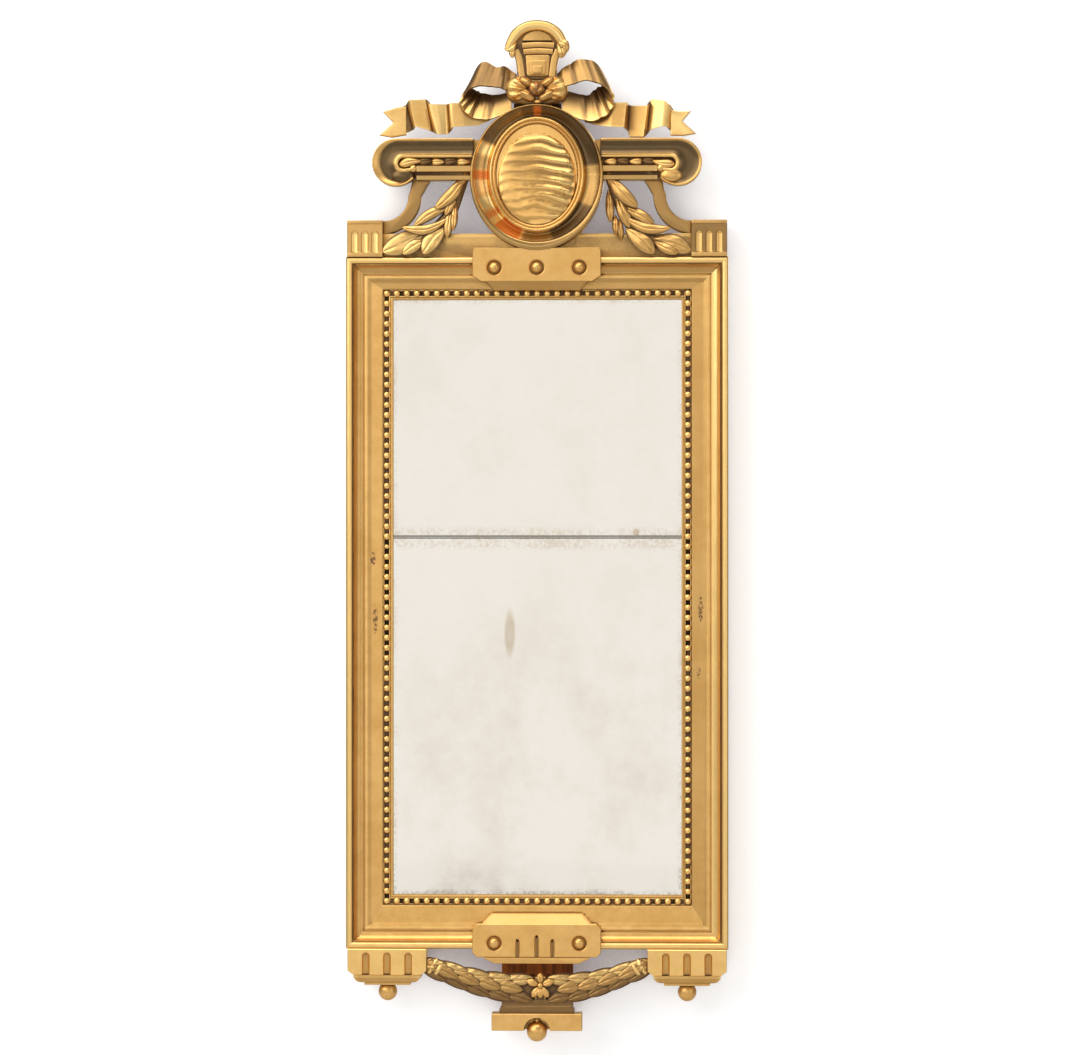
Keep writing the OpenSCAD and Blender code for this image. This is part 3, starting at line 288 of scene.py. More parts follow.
def lumps(x, z, scale_x, scale_z, seed):
    """Smooth unevenness over a grid of x and height."""
    places = zip(x.ravel() / scale_x, z.ravel() / scale_z)
    return np.array([noise.noise(Vector((a, b, seed))) for a, b in places]).reshape(x.shape)


def fading(distance, reach):
    """1 at no distance, falling evenly to 0 at the reach."""
    return np.clip(1 - distance / reach, 0, 1)


def polygon_area(outline):
    """Twice the signed area of an outline, above 0 where it runs anticlockwise."""
    x, z = np.asarray(outline, float).T
    return float(np.sum(x * np.roll(z, -1) - np.roll(x, -1) * z))


def unit(vectors):
    """The same vectors, each one long."""
    return vectors / np.maximum(np.linalg.norm(vectors, axis=-1), 1e-9)[..., None]


def flipped(points, hand):
    """Points mirrored left to right where hand is -1."""
    out = np.array(points, float)
    out[..., 0] *= hand
    return out


def round_bead(half, rise, base):
    """A rounded bead's section over a base."""
    crown = [(half * math.cos(a), rise * math.sin(a)) for a in np.radians(np.linspace(180, 0, 9))]
    return [(-half, -base)] + crown + [(half, -base)]


class Carving:
    """The points and faces of one piece. Each point carries shares of tarnish and painted shade, of bole,
    which also paints red reflections on the ring, of polish and painted highlight, and of painted shade on
    edges and in hollows.
    """

    def __init__(self):
        self.points, self.faces = [], []
        self.tones = {"tarnish": [], "bole": [], "polish": [], "dirt": []}

    def add(self, points, faces, **tones):
        """Adds points, and faces that count from the first of them."""
        start = len(self.points)
        points = np.asarray(points, float).reshape(-1, 3)
        self.points += points.tolist()
        self.faces += [[start + int(i) for i in f] for f in faces]
        for name, values in self.tones.items():
            tone = np.asarray(tones.get(name, 0.0), float).reshape(-1)
            values += np.broadcast_to(tone, (len(points),)).tolist()

    def tube(self, rings, closed=False, **tones):
        """A skin through rings with equally many points. An open one is capped."""
        rings = np.asarray(rings, float)
        count, around = rings.shape[:2]
        ids = np.arange(count * around).reshape(count, around)
        beside = np.roll(ids, -1, axis=1)
        faces = []
        for i in range(count if closed else count - 1):
            j = (i + 1) % count
            faces += zip(ids[i], beside[i], beside[j], ids[j])
        if not closed:
            faces += [ids[0][::-1], ids[-1]]
        self.add(rings, faces, **tones)

    def relief(self, front, back, **tones):
        """A grid of front points with straight sides down to a flat back."""
        front = np.asarray(front, float)
        rows, columns = front.shape[:2]
        ids = np.arange(rows * columns).reshape(rows, columns)
        corners = ids[:-1, :-1], ids[:-1, 1:], ids[1:, 1:], ids[1:, :-1]
        faces = list(zip(*(corner.ravel() for corner in corners)))
        edge = np.concatenate([ids[0, :-1], ids[:-1, -1], ids[-1, :0:-1], ids[:0:-1, 0]])
        flat = front.reshape(-1, 3)[edge].copy()
        flat[:, 2] = back
        below = rows * columns + np.arange(len(edge))
        faces += zip(edge, below, np.roll(below, -1), np.roll(edge, -1))
        faces.append(below)
        grown = {}
        for name, tone in tones.items():
            tone = np.broadcast_to(tone, (rows, columns)).ravel()
            grown[name] = np.concatenate([tone, tone[edge]])
        self.add(np.concatenate([front.reshape(-1, 3), flat]), faces, **grown)

    def shell(self, front, back, **tones):
        """A sheet between two grids of equal size."""
        grown = {}
        for name, tone in tones.items():
            tone = np.broadcast_to(tone, front.shape[:2])
            grown[name] = np.concatenate([tone, tone[:, ::-1]], axis=1)
        self.tube(np.concatenate([front, back[:, ::-1]], axis=1), **grown)

    def slab(self, outline, back, front, rounding=0.8, longest=None, **tones):
        """An outline between two depths, its front edge rounded."""
        if longest:
            outline = refined([tuple(p) for p in outline], longest)
        outline = np.array(outline, float)
        if polygon_area(outline) < 0:
            outline = outline[::-1]
        ahead = np.roll(outline, -1, axis=0) - np.roll(outline, 1, axis=0)
        inward = unit(np.column_stack([-ahead[:, 1], ahead[:, 0]]))
        rings = [np.column_stack([outline, np.full(len(outline), float(back))])]
        for turn in np.radians([0, 30, 60, 90]):
            shifted = outline + inward * rounding * (1 - math.cos(turn))
            depth = front - rounding * (1 - math.sin(turn))
            rings.append(np.column_stack([shifted, np.full(len(outline), depth)]))
        self.tube(rings, **tones)

    def moulding(self, path, section, depth=0.0, scale=1.0, **tones):
        """A closed section of (across, out) points run along a path of (x, height) points."""
        path = np.asarray(path, float)
        along = unit(np.gradient(path, axis=0))
        across = np.column_stack([-along[:, 1], along[:, 0]])
        u, v = (np.array(section, float).T[:, None, :] * np.broadcast_to(scale, (len(path),))[:, None])
        places = path[:, None, :] + across[:, None, :] * u[..., None]
        depths = np.broadcast_to(depth, (len(path),))[:, None] + v
        self.tube(np.dstack([places, depths]), **tones)

    def turning(self, profile, place, upright=False, steps=28, **tones):
        """A turned piece. Its profile is radius and depth, or radius and height when upright."""
        rings = []
        for radius, at in profile:
            ring = oval(place, radius, radius, steps)
            rings.append([(a, at, b) if upright else (a, b, at) for a, b in ring])
        self.tube(rings, **tones)

    def leaf(self, base, tip, width, crown=2.6, bend=0.0, arch=1.5, thick=3.0, full=0.62, veins=5, rim=0.0,
             **tones):
        """A laurel leaf from its stalk to its tip, each an (x, height, depth) point."""
        rows, columns = 26, 15
        u = np.linspace(0, 1, rows)[:, None]
        v = np.linspace(-1, 1, columns)[None, :]
        base, tip = np.array(base, float), np.array(tip, float)
        run = math.dist(base[:2], tip[:2])
        along = (tip[:2] - base[:2]) / run
        across = np.array([-along[1], along[0]])
        spread = np.sin(np.pi * u ** (math.log(0.5) / math.log(full))) ** 0.6 * (1 - 0.06 * u)
        spread = spread + 0.16 * (1 - u) ** 3
        sideways = bend * np.sin(np.pi * u) + width / 2 * spread * v
        x = base[0] + along[0] * run * u + across[0] * sideways
        z = base[1] + along[1] * run * u + across[1] * sideways
        swell = crown * spread * (1 - np.abs(v) ** 2.4)
        rib = 0.34 * crown * np.exp(-((v / 0.13) ** 2)) * np.minimum(1, spread * 1.4)
        ripple = 0.36 * crown * np.sin(math.tau * veins * (u - 0.3 * np.abs(v))) * np.abs(v) * (1 - np.abs(v))
        centre = base[2] + (tip[2] - base[2]) * u + arch * np.sin(np.pi * u)
        front = np.dstack([x, z, centre + swell - rib + ripple * spread])
        back = np.dstack([x, z, centre - thick * np.clip(1.15 - u, 0.25, 1) + 0 * v])
        # Painted shade along the leaf's edges, as a dark outline where it stands over what lies behind.
        outline = rim * np.clip((np.abs(v) - 0.66) / 0.24, 0, 1)
        tones["dirt"] = np.clip(tones.get("dirt", 0.0) + outline, 0, 1)
        self.shell(front, back, **tones)

    def strip(self, near, far, thick=2.4, columns=12, creases=(), belly=0.0, **tones):
        """A ribbon between two edges, each a list of (x, height, depth) points."""
        v = np.linspace(0, 1, columns)[None, :, None]
        face = near[:, None] * (1 - v) + far[:, None] * v
        s = np.linspace(0, 1, len(near))[:, None]
        normal = unit(np.cross(np.gradient(face, axis=0), np.gradient(face, axis=1)))
        lift = belly * np.sin(np.pi * v[..., 0]) * np.ones_like(s)
        for place, amount, width in creases:
            lift = lift + amount * np.exp(-(((s - place) / width) ** 2))
        face = face + normal * lift[..., None]
        self.shell(face + normal * thick / 2, face - normal * thick / 2, **tones)

    def make(self, name, finish, node, slot="matt_gilding", sharp=38):
        """Makes the mesh, gives it its finish and sets it in the place of its frame node."""
        mesh = bpy.data.meshes.new(name)
        p = np.array(self.points)
        mesh.from_pydata(np.column_stack([p[:, 0], -p[:, 2], p[:, 1]]) * MM, [], self.faces)
        work = bmesh.new()
        work.from_mesh(mesh)
        bmesh.ops.recalc_face_normals(work, faces=work.faces)
        work.to_mesh(mesh)
        work.free()
        for label, values in self.tones.items():
            set_shares(mesh, label, values)
        mesh.polygons.foreach_set("use_smooth", [True] * len(mesh.polygons))
        mesh.set_sharp_from_angle(angle=math.radians(sharp))
        piece = placed(name, mesh, finishes[finish])
        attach(piece, "root")
        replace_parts(piece, node)
        return piece


def placed(name, mesh, material):
    """A new object in the scene with this mesh and material."""
    mesh.materials.append(material)
    piece = bpy.data.objects.new(name, mesh)
    bpy.context.scene.collection.objects.link(piece)
    return piece


def set_shares(mesh, name, values):
    """Paints a share on the mesh, one value to a point."""
    mesh.attributes.new(name, "FLOAT", "POINT").data.foreach_set("value", np.asarray(values, np.float32))


# ---- Finishes ----


class Wire:
    """A socket whose arithmetic adds Math nodes."""

    def __init__(self, finish, socket):
        self.finish, self.socket = finish, socket

    def math(self, operation, a, b=0.0):
        """A Math node on two sockets or numbers."""
        return self.finish.node("ShaderNodeMath", {"operation": operation}, {0: a, 1: b})

    def __add__(self, other):
        return self.math("ADD", self, other)

    __radd__ = __add__

    def __sub__(self, other):
        return self.math("SUBTRACT", self, other)

    def __rsub__(self, other):
        return self.math("SUBTRACT", other, self)

    def __mul__(self, other):
        return self.math("MULTIPLY", self, other)

    __rmul__ = __mul__


class Finish:
    """A material made of nodes. Positions on it are metres in the frame."""

    def __init__(self, name):
        self.material = finishes[name] = bpy.data.materials.new(name)
        self.material.use_nodes = True
        self.tree = self.material.node_tree
        self.tree.nodes.clear()
        self.place = self.node("ShaderNodeTexCoord", output="Object")

    def node(self, kind, settings=None, sockets=None, output=0):
        """Adds a node: its settings first, then its sockets' values or links."""
        node = self.tree.nodes.new(kind)
        for name, value in (settings or {}).items():
            setattr(node, name, value)
        for name, value in (sockets or {}).items():
            if isinstance(value, Wire):
                self.tree.links.new(value.socket, node.inputs[name])
            else:
                node.inputs[name].default_value = value
        return Wire(self, node.outputs[output])

    def mix(self, share, a, b):
        """Colour a, going to colour b by a share."""
        colour_a, colour_b, result = 6, 7, 2
        return self.node("ShaderNodeMix", {"data_type": "RGBA"}, {0: share, colour_a: a, colour_b: b}, result)

    def step(self, value, low=0.0, high=1.0):
        """0 below low, 1 above high, and smooth between."""
        sockets = {"Value": value, "From Min": low, "From Max": high}
        return self.node("ShaderNodeMapRange", {"interpolation_type": "SMOOTHSTEP"}, sockets)

    def grain(self, scale, detail=2.0, rough=0.5, stretch=(1, 1, 1), shift=(0, 0, 0)):
        """Noise with so many features to a metre."""
        sockets = {"Vector": self.place, "Scale": stretch, "Location": shift}
        place = self.node("ShaderNodeMapping", None, sockets)
        sockets = {"Vector": place, "Scale": scale, "Detail": detail, "Roughness": rough}
        return self.node("ShaderNodeTexNoise", None, sockets)

    def painted(self, name):
        """A share that the mesh carries at its points."""
        return self.node("ShaderNodeAttribute", {"attribute_name": name}, output="Fac")

    def vector(self, operation, a, b=(0, 0, 0), output=0):
        """A Vector Math node."""
        return self.node("ShaderNodeVectorMath", {"operation": operation}, {0: a, 1: b}, output)

    def spot(self, x, z, half_w, half_h):
        """1 in the middle of an oval spot on the front, falling to 0 at its edge."""
        away = self.vector("SUBTRACT", self.place, (x, 0, z))
        share = self.vector("MULTIPLY", away, (1 / half_w, 0, 1 / half_h))
        return self.step(1 - self.vector("LENGTH", share, output="Value"), 0.0, 0.5)

    def facing_back(self):
        """How squarely a face looks at the wall."""
        normal = self.node("ShaderNodeNewGeometry", output="True Normal")
        return self.node("ShaderNodeSeparateXYZ", None, {"Vector": normal}, "Y")

    def bump(self, height, strength, distance):
        """A normal from a height between 0 and 1."""
        sockets = {"Height": height, "Strength": strength, "Distance": distance}
        return self.node("ShaderNodeBump", None, sockets, "Normal")

    def surface(self, base, roughness, metallic=0.0, normal=None):
        """Ends the material in one Principled shader."""
        sockets = {"Base Color": base, "Roughness": roughness, "Metallic": metallic}
        if normal:
            sockets["Normal"] = normal
        return self.end(self.node("ShaderNodeBsdfPrincipled", None, sockets))

    def end(self, shader):
        """Links the shader to the material's output."""
        out = self.tree.nodes.new("ShaderNodeOutputMaterial")
        self.tree.links.new(shader.socket, out.inputs["Surface"])
        return self.material


def rgb(shade):
    """A colour of three shares as the four that a socket takes."""
    return (*shade, 1.0)


def gilding(name, colours, shine, spots=(), shade=0.0, dark=None, under=None):
    """Water gilding: leaf over red bole, bright on its rubbed edges and dusty in its hollows. It also takes
    painted highlights, painted shade and painted reflections from the shares on the mesh, and the shade
    darkens the leaf away from painted highlights.
    """
    f = Finish(name)
    recess, rub, dirt = f.painted("recess"), f.painted("rub"), f.painted("dirt")
    tarnish, clay_and_reflection, polish = f.painted("tarnish"), f.painted("bole"), f.painted("polish")
    cloud = f.grain(16, 4, 0.6)
    patch = f.grain(85, 3, 0.6, shift=(3, 1, 7))
    fine = f.grain(620, 2, 0.6)
    pits = f.grain(1500, 1, 0.5)
    # The leaf: two golds in clouds, bright where rubbed and where a highlight is painted, dark where
    # tarnished and where shade and dark reflections are painted.
    light = f.step(cloud * 0.6 + patch * 0.4, 0.32, 0.68)
    leaf = f.mix(light, rgb(colours.leaf_deep), rgb(colours.leaf_light))
    leaf = f.mix(f.step(rub + polish * 1.2 + (patch - 0.5) * 0.4, 0.1, 1.1), leaf, rgb(colours.rubbed))
    leaf = f.mix(f.step(pits, 0.60, 0.74) * 0.3, leaf, rgb(colours.dust_and_shade))
    tarnish_and_shade_share = tarnish * (0.8 + patch * 0.4) + (1 - polish) * (0.6 + cloud * 0.8) * shade
    leaf = f.mix(f.step(tarnish_and_shade_share), leaf, rgb(dark or colours.tarnish))
    # Clay where the leaf is worn away, and painted red reflections on the ring's cove, then dust and painted
    # shade over both.
    red = f.step(clay_and_reflection + (patch - 0.5) * 0.3, 0.1, 0.9)
    worn = f.step(rub * 0.45 + (patch - 0.5) * 0.9 + (fine - 0.5) * 0.5, 0.50, 0.70)
    leaf = f.mix(f.step(red + worn * 0.8), leaf, rgb(under or colours.bole))
    # Dust in the hollows, with painted shade added to it.
    dust_and_shade_amount = recess * (1 - polish * 0.6) + dirt
    dust_and_shade_share = f.step(dust_and_shade_amount + (patch - 0.5) * 0.3 + (fine - 0.5) * 0.15, 0.30, 1.0)
    leaf = f.mix(dust_and_shade_share * 0.95, leaf, rgb(colours.dust_and_shade))
    height = fine * 0.5 + pits * 0.25 + patch * 0.6
    plain = dust_and_shade_share + worn * 0.6
    if spots:
        mark = f.spot(*spots[0])
        for spot in spots[1:]:
            mark = mark + f.spot(*spot)
        missing = f.step(mark * 0.6 + (f.grain(230, 3, 0.7) - 0.5) * 2.4 * mark, 0.50, 0.66)
        leaf = f.mix(missing * 0.85, leaf, rgb(colours.bare))
        height = height - missing * 1.2
        plain = plain + missing
    # Bare wood on whatever faces the wall.
    behind = f.step(f.facing_back(), 0.3, 0.6)
    leaf = f.mix(behind, leaf, f.mix(f.step(cloud, 0.35, 0.65), rgb(colours.plain_back), rgb(colours.bare)))
    plain = f.step(plain + behind * 1.4)
    clean = 0.34 - 0.24 * shine
    return f.surface(
        leaf,
        clean - polish * 0.08 + patch * 0.12 + fine * (0.09 - 0.07 * shine) + plain * 0.35,
        (0.9 + 0.1 * shine) - plain * 0.75 - red * 0.45,
        f.bump(height, 0.28 - 0.18 * shine, 0.0004),
    )


# Marks on the mirror and the frame: x, height, half width and half height in metres.
STAIN = (-0.0325, -0.036, 0.008, 0.034)
GREY_SPECK = (0.1165, 0.083, 0.005, 0.005)
DULL_LOWER_PLATE = (0.0, -0.22, 0.26, 0.24)
FRAME_CHIPS = (
    (-0.1935, 0.0510, 0.0060, 0.0130),
    (-0.1905, -0.0200, 0.0045, 0.0260),
    (0.1925, -0.0080, 0.0045, 0.0230),
    (0.1900, -0.0820, 0.0035, 0.0110),
)


def mirror_glass(name, colours):
    """Old silvered glass: a slightly warm, clouded reflection with foxing at the edges."""
    f = Finish(name)
    cloud = f.grain(7, 4, 0.62, stretch=(1, 1, 0.6))
    veil = f.grain(24, 4, 0.7, shift=(4, 2, 1))
    fine = f.grain(260, 3, 0.65)
    share = f.step(cloud * 0.6 + veil * 0.4, 0.40, 0.70) * (0.16 + f.spot(*DULL_LOWER_PLATE) * 0.22)
    stain = f.spot(*STAIN) * (0.35 + veil * 0.6)
    speck = f.spot(*GREY_SPECK) * 0.6
    edge = f.painted("edge") * f.step(fine * 0.6 + veil * 0.5, 0.46, 0.70) * 0.55
    clouded = share + stain + speck + edge
    silver = f.mix(clouded, rgb(colours.silver), rgb(colours.foxing))
    return f.surface(silver, 0.025 + f.step(clouded) * 0.16, 1.0, f.bump(cloud, 0.03, 0.002))


def bare_pine(name, light, dark, grain_axis):
    """Bare old pine with its grain along one axis, saw marks across it and dark stain."""
    f = Finish(name)
    along, across = [14.0, 14.0, 14.0], [0.04, 0.04, 0.04]
    along[grain_axis], across[grain_axis] = 0.5, 1.0
    rings = f.grain(11, 5, 0.6, stretch=along)
    fibre = f.grain(60, 3, 0.7, stretch=along)
    stain = f.grain(6, 4, 0.6)
    saw = f.grain(340, 1, 0.4, stretch=across)
    wood = f.mix(f.step(rings * 0.7 + fibre * 0.3, 0.38, 0.66), rgb(light), rgb(dark))
    wood = f.mix(f.step(stain, 0.48, 0.80) * 0.55, wood, rgb(dark))
    height = fibre * 0.6 + saw * 0.5 + rings * 0.4
    return f.surface(wood, 0.70 + fibre * 0.22, normal=f.bump(height, 0.45, 0.0006))


def forged_iron(name, colours):
    """Hammered iron, dark on its faces and rusty in patches."""
    f = Finish(name)
    hammer = f.grain(190, 2, 0.4)
    rusty = f.step(f.grain(130, 5, 0.7), 0.46, 0.66)
    fine = f.grain(900, 2, 0.6)
    metal = f.mix(rusty * (0.5 + fine * 0.5), rgb(colours.iron), rgb(colours.rust))
    normal = f.bump(hammer * 0.7 + fine * 0.2, 0.5, 0.0006)
    return f.surface(metal, 0.42 + rusty * 0.35 + fine * 0.1, 0.9 - rusty * 0.7, normal)


class PIERMIRROR_OT_finishes(bpy.types.Operator):
    """Mix the gilding, the glass, the pine and the iron"""

    bl_idname = "pier_mirror.finishes"
    bl_label = "Finishes"

    def execute(self, context):
        settings = context.scene.pier_mirror
        gilt, plain = settings.gilding, settings.plain
        gilding("matt_gilding", gilt, 0.25, shade=0.14)
        gilding("frame_gilding", gilt, 0.2, FRAME_CHIPS)
        gilding("field_gilding", gilt, 0.55)
        gilding("bar_gilding", gilt, 0.35, dark=gilt.sooty_and_dark_reflection)
        gilding("crest_gilding", gilt, 0.25, shade=0.36)
        gilding("burnished_gilding", gilt, 0.6, dark=gilt.sooty_and_dark_reflection, under=gilt.clay_and_red_reflection)
        gilding("pearl_gilding", gilt, 0.3, dark=gilt.pearl_gap_shade)
        mirror_glass("old_mirror_glass", plain)
        bare_pine("pine_across", plain.pine, plain.pine_dark, 0)
        bare_pine("pine_upright", plain.pine, plain.pine_dark, 2)
        bare_pine("stained_pine", plain.stained, plain.stained_dark, 2)
        forged_iron("forged_iron", plain)
        return {"FINISHED"}


# ---- Frame ----


def rail_section(sizes, width, cut):
    """A rail's section: distance in from the outer edge, then depth. Its quirk is cut so deep."""
    fillet, cove, bead = sizes.fillet / MM, sizes.cove / MM, sizes.bead / MM
    back, quirk = 0.3, 1.6
    nose, shoulder = RAIL_DEPTH - fillet / 2, RAIL_DEPTH - 2.0
    cove_x, floor = fillet + quirk + cove, FRIEZE_DEPTH + 0.4
    channel, lip, lip_depth = 12.0, 3.0, BED_DEPTH + 2
    rebate, board_rebate, board = 9.0, 20.0, 8.0
    start = 180 + math.degrees(math.asin((floor + cove - shoulder) / cove))
    outline = [(0, back)] + refined([(0, 6), (0, nose)], 5, closed=False)[:-1]
    outline += arc((fillet / 2, nose), fillet / 2, 180, 0, 14)
    outline += [(fillet, shoulder - cut), (fillet + quirk, shoulder - cut), (fillet + quirk, shoulder - 0.6)]
    outline += arc((cove_x, floor + cove), cove, start, 270, 14)
    outline += [(cove_x, floor - 1.3), (cove_x + quirk, floor - 1.3), (cove_x + quirk, floor)]
    bead_x, crown, slope = cove_x + quirk + bead / 2, FRIEZE_DEPTH + 1.5, 7.0
    for a in np.radians((150, 120, 90)):
        outline.append((bead_x + bead / 2 * math.cos(a), floor + (crown - floor) * math.sin(a)))
    for t in np.linspace(0.12, 1, 7):
        outline.append((bead_x + slope * t, crown - (crown - FRIEZE_DEPTH) * (1 - math.cos(math.pi * t)) / 2))
    flat = [(bead_x + slope + 1, FRIEZE_DEPTH), (width - channel, FRIEZE_DEPTH)]
    outline += refined(flat, 2.2, closed=False)
    outline += [(width - channel, BED_DEPTH), (width - lip, BED_DEPTH), (width - lip, lip_depth)]
    outline += [(width, lip_depth), (width, GLASS_FRONT), (width - rebate, GLASS_FRONT)]
    outline += [(width - rebate, board), (width - board_rebate, board), (width - board_rebate, back)]
    return np.array(softened(outline, 0.55, 2))


def mitred(distance, width, other):
    """How far in a mitre lies on one rail, for a distance in on the other."""
    edge, channel = 27.5, 12.0
    return np.interp(distance, [0, edge, width - channel, width], [0, edge, other - channel, other])


def rail(rings, sizes, seed, section, frieze, cove, fillet):
    """A rail through its rings, slightly uneven and chipped, with its tones across the section: painted shade
    on the frieze, on the cove painted shade where its share is above 0 and a painted highlight where below,
    and a painted highlight on the fillet and the bead.
    """
    rings = np.array(rings)
    flat = rings.reshape(-1, 3)
    wave, chip_depth = 22, 0.4
    flat[:, 2] += wander(flat, wave, sizes.unevenness / MM, seed) * (flat[:, 2] > BED_DEPTH + 1)
    for x, z, half_w, half_h in FRAME_CHIPS:
        away = np.hypot((flat[:, 0] - x / MM) / (half_w / MM), (flat[:, 1] - z / MM) / (half_h / MM))
        flat[:, 2] -= chip_depth * np.clip(1 - away, 0, 1) * (flat[:, 2] > FRIEZE_DEPTH - 1)
    # Where the painted shade and highlights lie, as distances in from the outer edge.
    fillet_end, cove_start, cove_end, frieze_start, bead_middle = 8.2, 9, 21, 22, 24.0
    d = section[:, 0]
    in_cove = np.clip(np.minimum(d - cove_start, cove_end - d) / 3, 0, 1)
    on_fillet, on_bead = np.clip((fillet_end - d) / 2, 0, 1), np.clip(2.2 - np.abs(d - bead_middle), 0, 1)
    tarnish = frieze * np.clip((d - frieze_start) / 4, 0, 1) + max(cove, 0) * in_cove
    polish = fillet * on_fillet + 0.35 * on_bead + max(-cove, 0) * in_cove
    carving = Carving()
    carving.tube(rings, tarnish=np.tile(tarnish, len(rings)), polish=np.tile(polish, len(rings)))
    return carving


def stile(sizes, hand):
    """An upright of the frame, mitred at both ends."""
    cut, rings_along = 2.6, 190
    section = rail_section(sizes, STILE_W, cut)
    top = FRAME_TOP - mitred(section[:, 0], STILE_W, TOP_RAIL_W)
    bottom = FRAME_BOTTOM + mitred(section[:, 0], STILE_W, BOTTOM_RAIL_W)
    out = hand * (HALF_W - section[:, 0])
    steps = np.linspace(0, 1, rings_along)
    rings = [np.column_stack([out, bottom + (top - bottom) * t, section[:, 1]]) for t in steps]
    # Painted light from the upper left: shade on both friezes and on the left cove, a highlight on the right
    # cove.
    frieze, cove = (0.34, -1.0) if hand > 0 else (0.20, 0.22)
    return rail(rings, sizes, hand * 5.0, section, frieze, cove, 0.85)


def cross_rail(sizes, at_top):
    """The top or the bottom rail, mitred at both ends."""
    width, cut = (TOP_RAIL_W, 2.6) if at_top else (BOTTOM_RAIL_W, 0.9)
    section = rail_section(sizes, width, cut)
    out = HALF_W - mitred(section[:, 0], width, STILE_W)
    height = FRAME_TOP - section[:, 0] if at_top else FRAME_BOTTOM + section[:, 0]
    rings = [np.column_stack([out * t, height, section[:, 1]]) for t in np.linspace(-1, 1, 100)]
    # Painted shade on the top rail's frieze and cove, which face down, and a painted highlight on each rail's
    # fillet.
    frieze, cove, fillet = (0.44, 0.42, 0.85) if at_top else (0.03, 0.0, 0.6)
    return rail(rings, sizes, width, section, frieze, cove, fillet)


def ball_profile(radius, sink):
    """Radius and depth of a ball from its base to its crown."""
    angles = np.radians(np.linspace(-math.degrees(math.asin(sink / radius)), 86, 8))
    return [(radius * math.cos(a), radius * math.sin(a)) for a in angles]


# Pearls worn small, as x and height.
CHIPPED_PEARLS = ((62.5, 364.5), (177.5, 236.0), (-177.5, 68.0))


def pearl_strip(sizes, box, half_run, skip):
    """A lath with pearls along its middle, its ground painted near black as shade and each pearl given a
    painted highlight.
    """
    carving = Carving()
    floor = BED_DEPTH + 1.5
    centre, upright = floor + 0.7, box.height > box.width
    half = min(box.width, box.height) / 2
    across = np.array([-half, -half + 0.3, -2.9, -2.5, 0, 2.5, 2.9, half - 0.3, half])
    rise = np.array([0.6, 1.2, 0.9, 0, 0, 0, 0.9, 1.2, 0.6])
    dark = (rise == 0).astype(float)
    ends = (box.bottom, box.top) if upright else (box.left, box.right)
    u, v = np.meshgrid(across, np.linspace(*ends, 60))
    x, z = (box.x + u, v) if upright else (v, box.z + u)
    carving.relief(np.stack([x, z, floor + rise + 0 * u], axis=-1), BED_DEPTH, tarnish=dark)
    run = np.array([0, half_run] if upright else [half_run, 0])
    middle = np.array([box.x, box.z] if upright else [0, box.z])
    gaps = round(2 * half_run / (sizes.pearl_pitch / MM))
    for i in range(skip, gaps + 1 - skip):
        place = middle + run * (2 * i / gaps - 1)
        size = 1 + 0.05 * noise.noise(Vector((place[0] / 7, place[1] / 7, 0)))
        for mark in CHIPPED_PEARLS:
            size -= 0.3 * fading(math.dist(place, mark), 8)
        profile = [(r * size, centre + d * size) for r, d in ball_profile(sizes.pearl / MM / 2, 0.8)]
        carving.turning(profile, place, steps=18, polish=0.7)
    return carving


class PIERMIRROR_OT_frame(bpy.types.Operator):
    """Make the four moulded rails and the pearl border"""

    bl_idname = "pier_mirror.frame"
    bl_label = "Frame and Pearls"

    def execute(self, context):
        sizes = context.scene.pier_mirror.frame
        for name, hand in SIDES:
            stile(sizes, hand).make(f"gilt_{name}_stile", "frame_gilding", f"{name}_stile")
        for name in ("top", "bottom"):
            cross_rail(sizes, name == "top").make(f"gilt_{name}_rail", "frame_gilding", f"{name}_rail")
        for name in ("left", "right", "top", "bottom"):
            box = Box(f"pearl_strip_{name}")
            upright = box.height > box.width
            half_run = box.height / 2 - box.width / 2 if upright else Box("pearl_strip_right").x
            strip = pearl_strip(sizes, box, half_run, 0 if upright else 1)
            strip.make(f"pearls_{name}", "pearl_gilding", f"pearl_strip_{name}")
        return {"FINISHED"}


# ---- Glass ----


def plate_lines(low, high):
    """Places across a plate, closer together near its edges."""
    rim, middle = 24, 40
    spans = (low, low + rim), (low + middle, high - middle), (high - rim, high)
    return np.concatenate([np.linspace(*span, 9) for span in spans])


class PIERMIRROR_OT_glass(bpy.types.Operator):
    """Make the two mirror plates with their ground edges"""

    bl_idname = "pier_mirror.glass"
    bl_label = "Mirror Plates"

    def execute(self, context):
        hidden, reach, ground = 9, 5.0, 0.5
        for node in ("upper_mirror_plate", "lower_mirror_plate"):
            box = Box(node)
            x, z = np.meshgrid(plate_lines(box.left, box.right), plate_lines(box.bottom, box.top))
            inside = np.minimum.reduce([x - box.left, box.right - x, z - box.bottom, box.top - z])
            depth = np.where(inside == 0, box.front - ground, box.front)
            carving = Carving()
            carving.relief(np.dstack([x, z, depth]), box.back)
            piece = carving.make("silvered_" + node, "old_mirror_glass", node, "old_mirror_glass", sharp=60)
            values = np.ones(len(piece.data.vertices))
            values[: inside.size] = fading(inside - hidden, reach).ravel()
            set_shares(piece.data, "edge", values)
        return {"FINISHED"}


# ---- Crest ----


BAR_BOTTOM = FRAME_TOP + 90.0
BAR_START = RING.right - 3.0
BAR_FLOOR = 36.5
SCROLL_R = 28.0
SCROLL = (BAR.right - SCROLL_R, BAR.top - SCROLL_R)
# The hook that the bar's inner fillet makes in the scroll.
HOOK_R = 8.6
HOOK = (SCROLL[0] - 9.0, SCROLL[1] - 1.0)


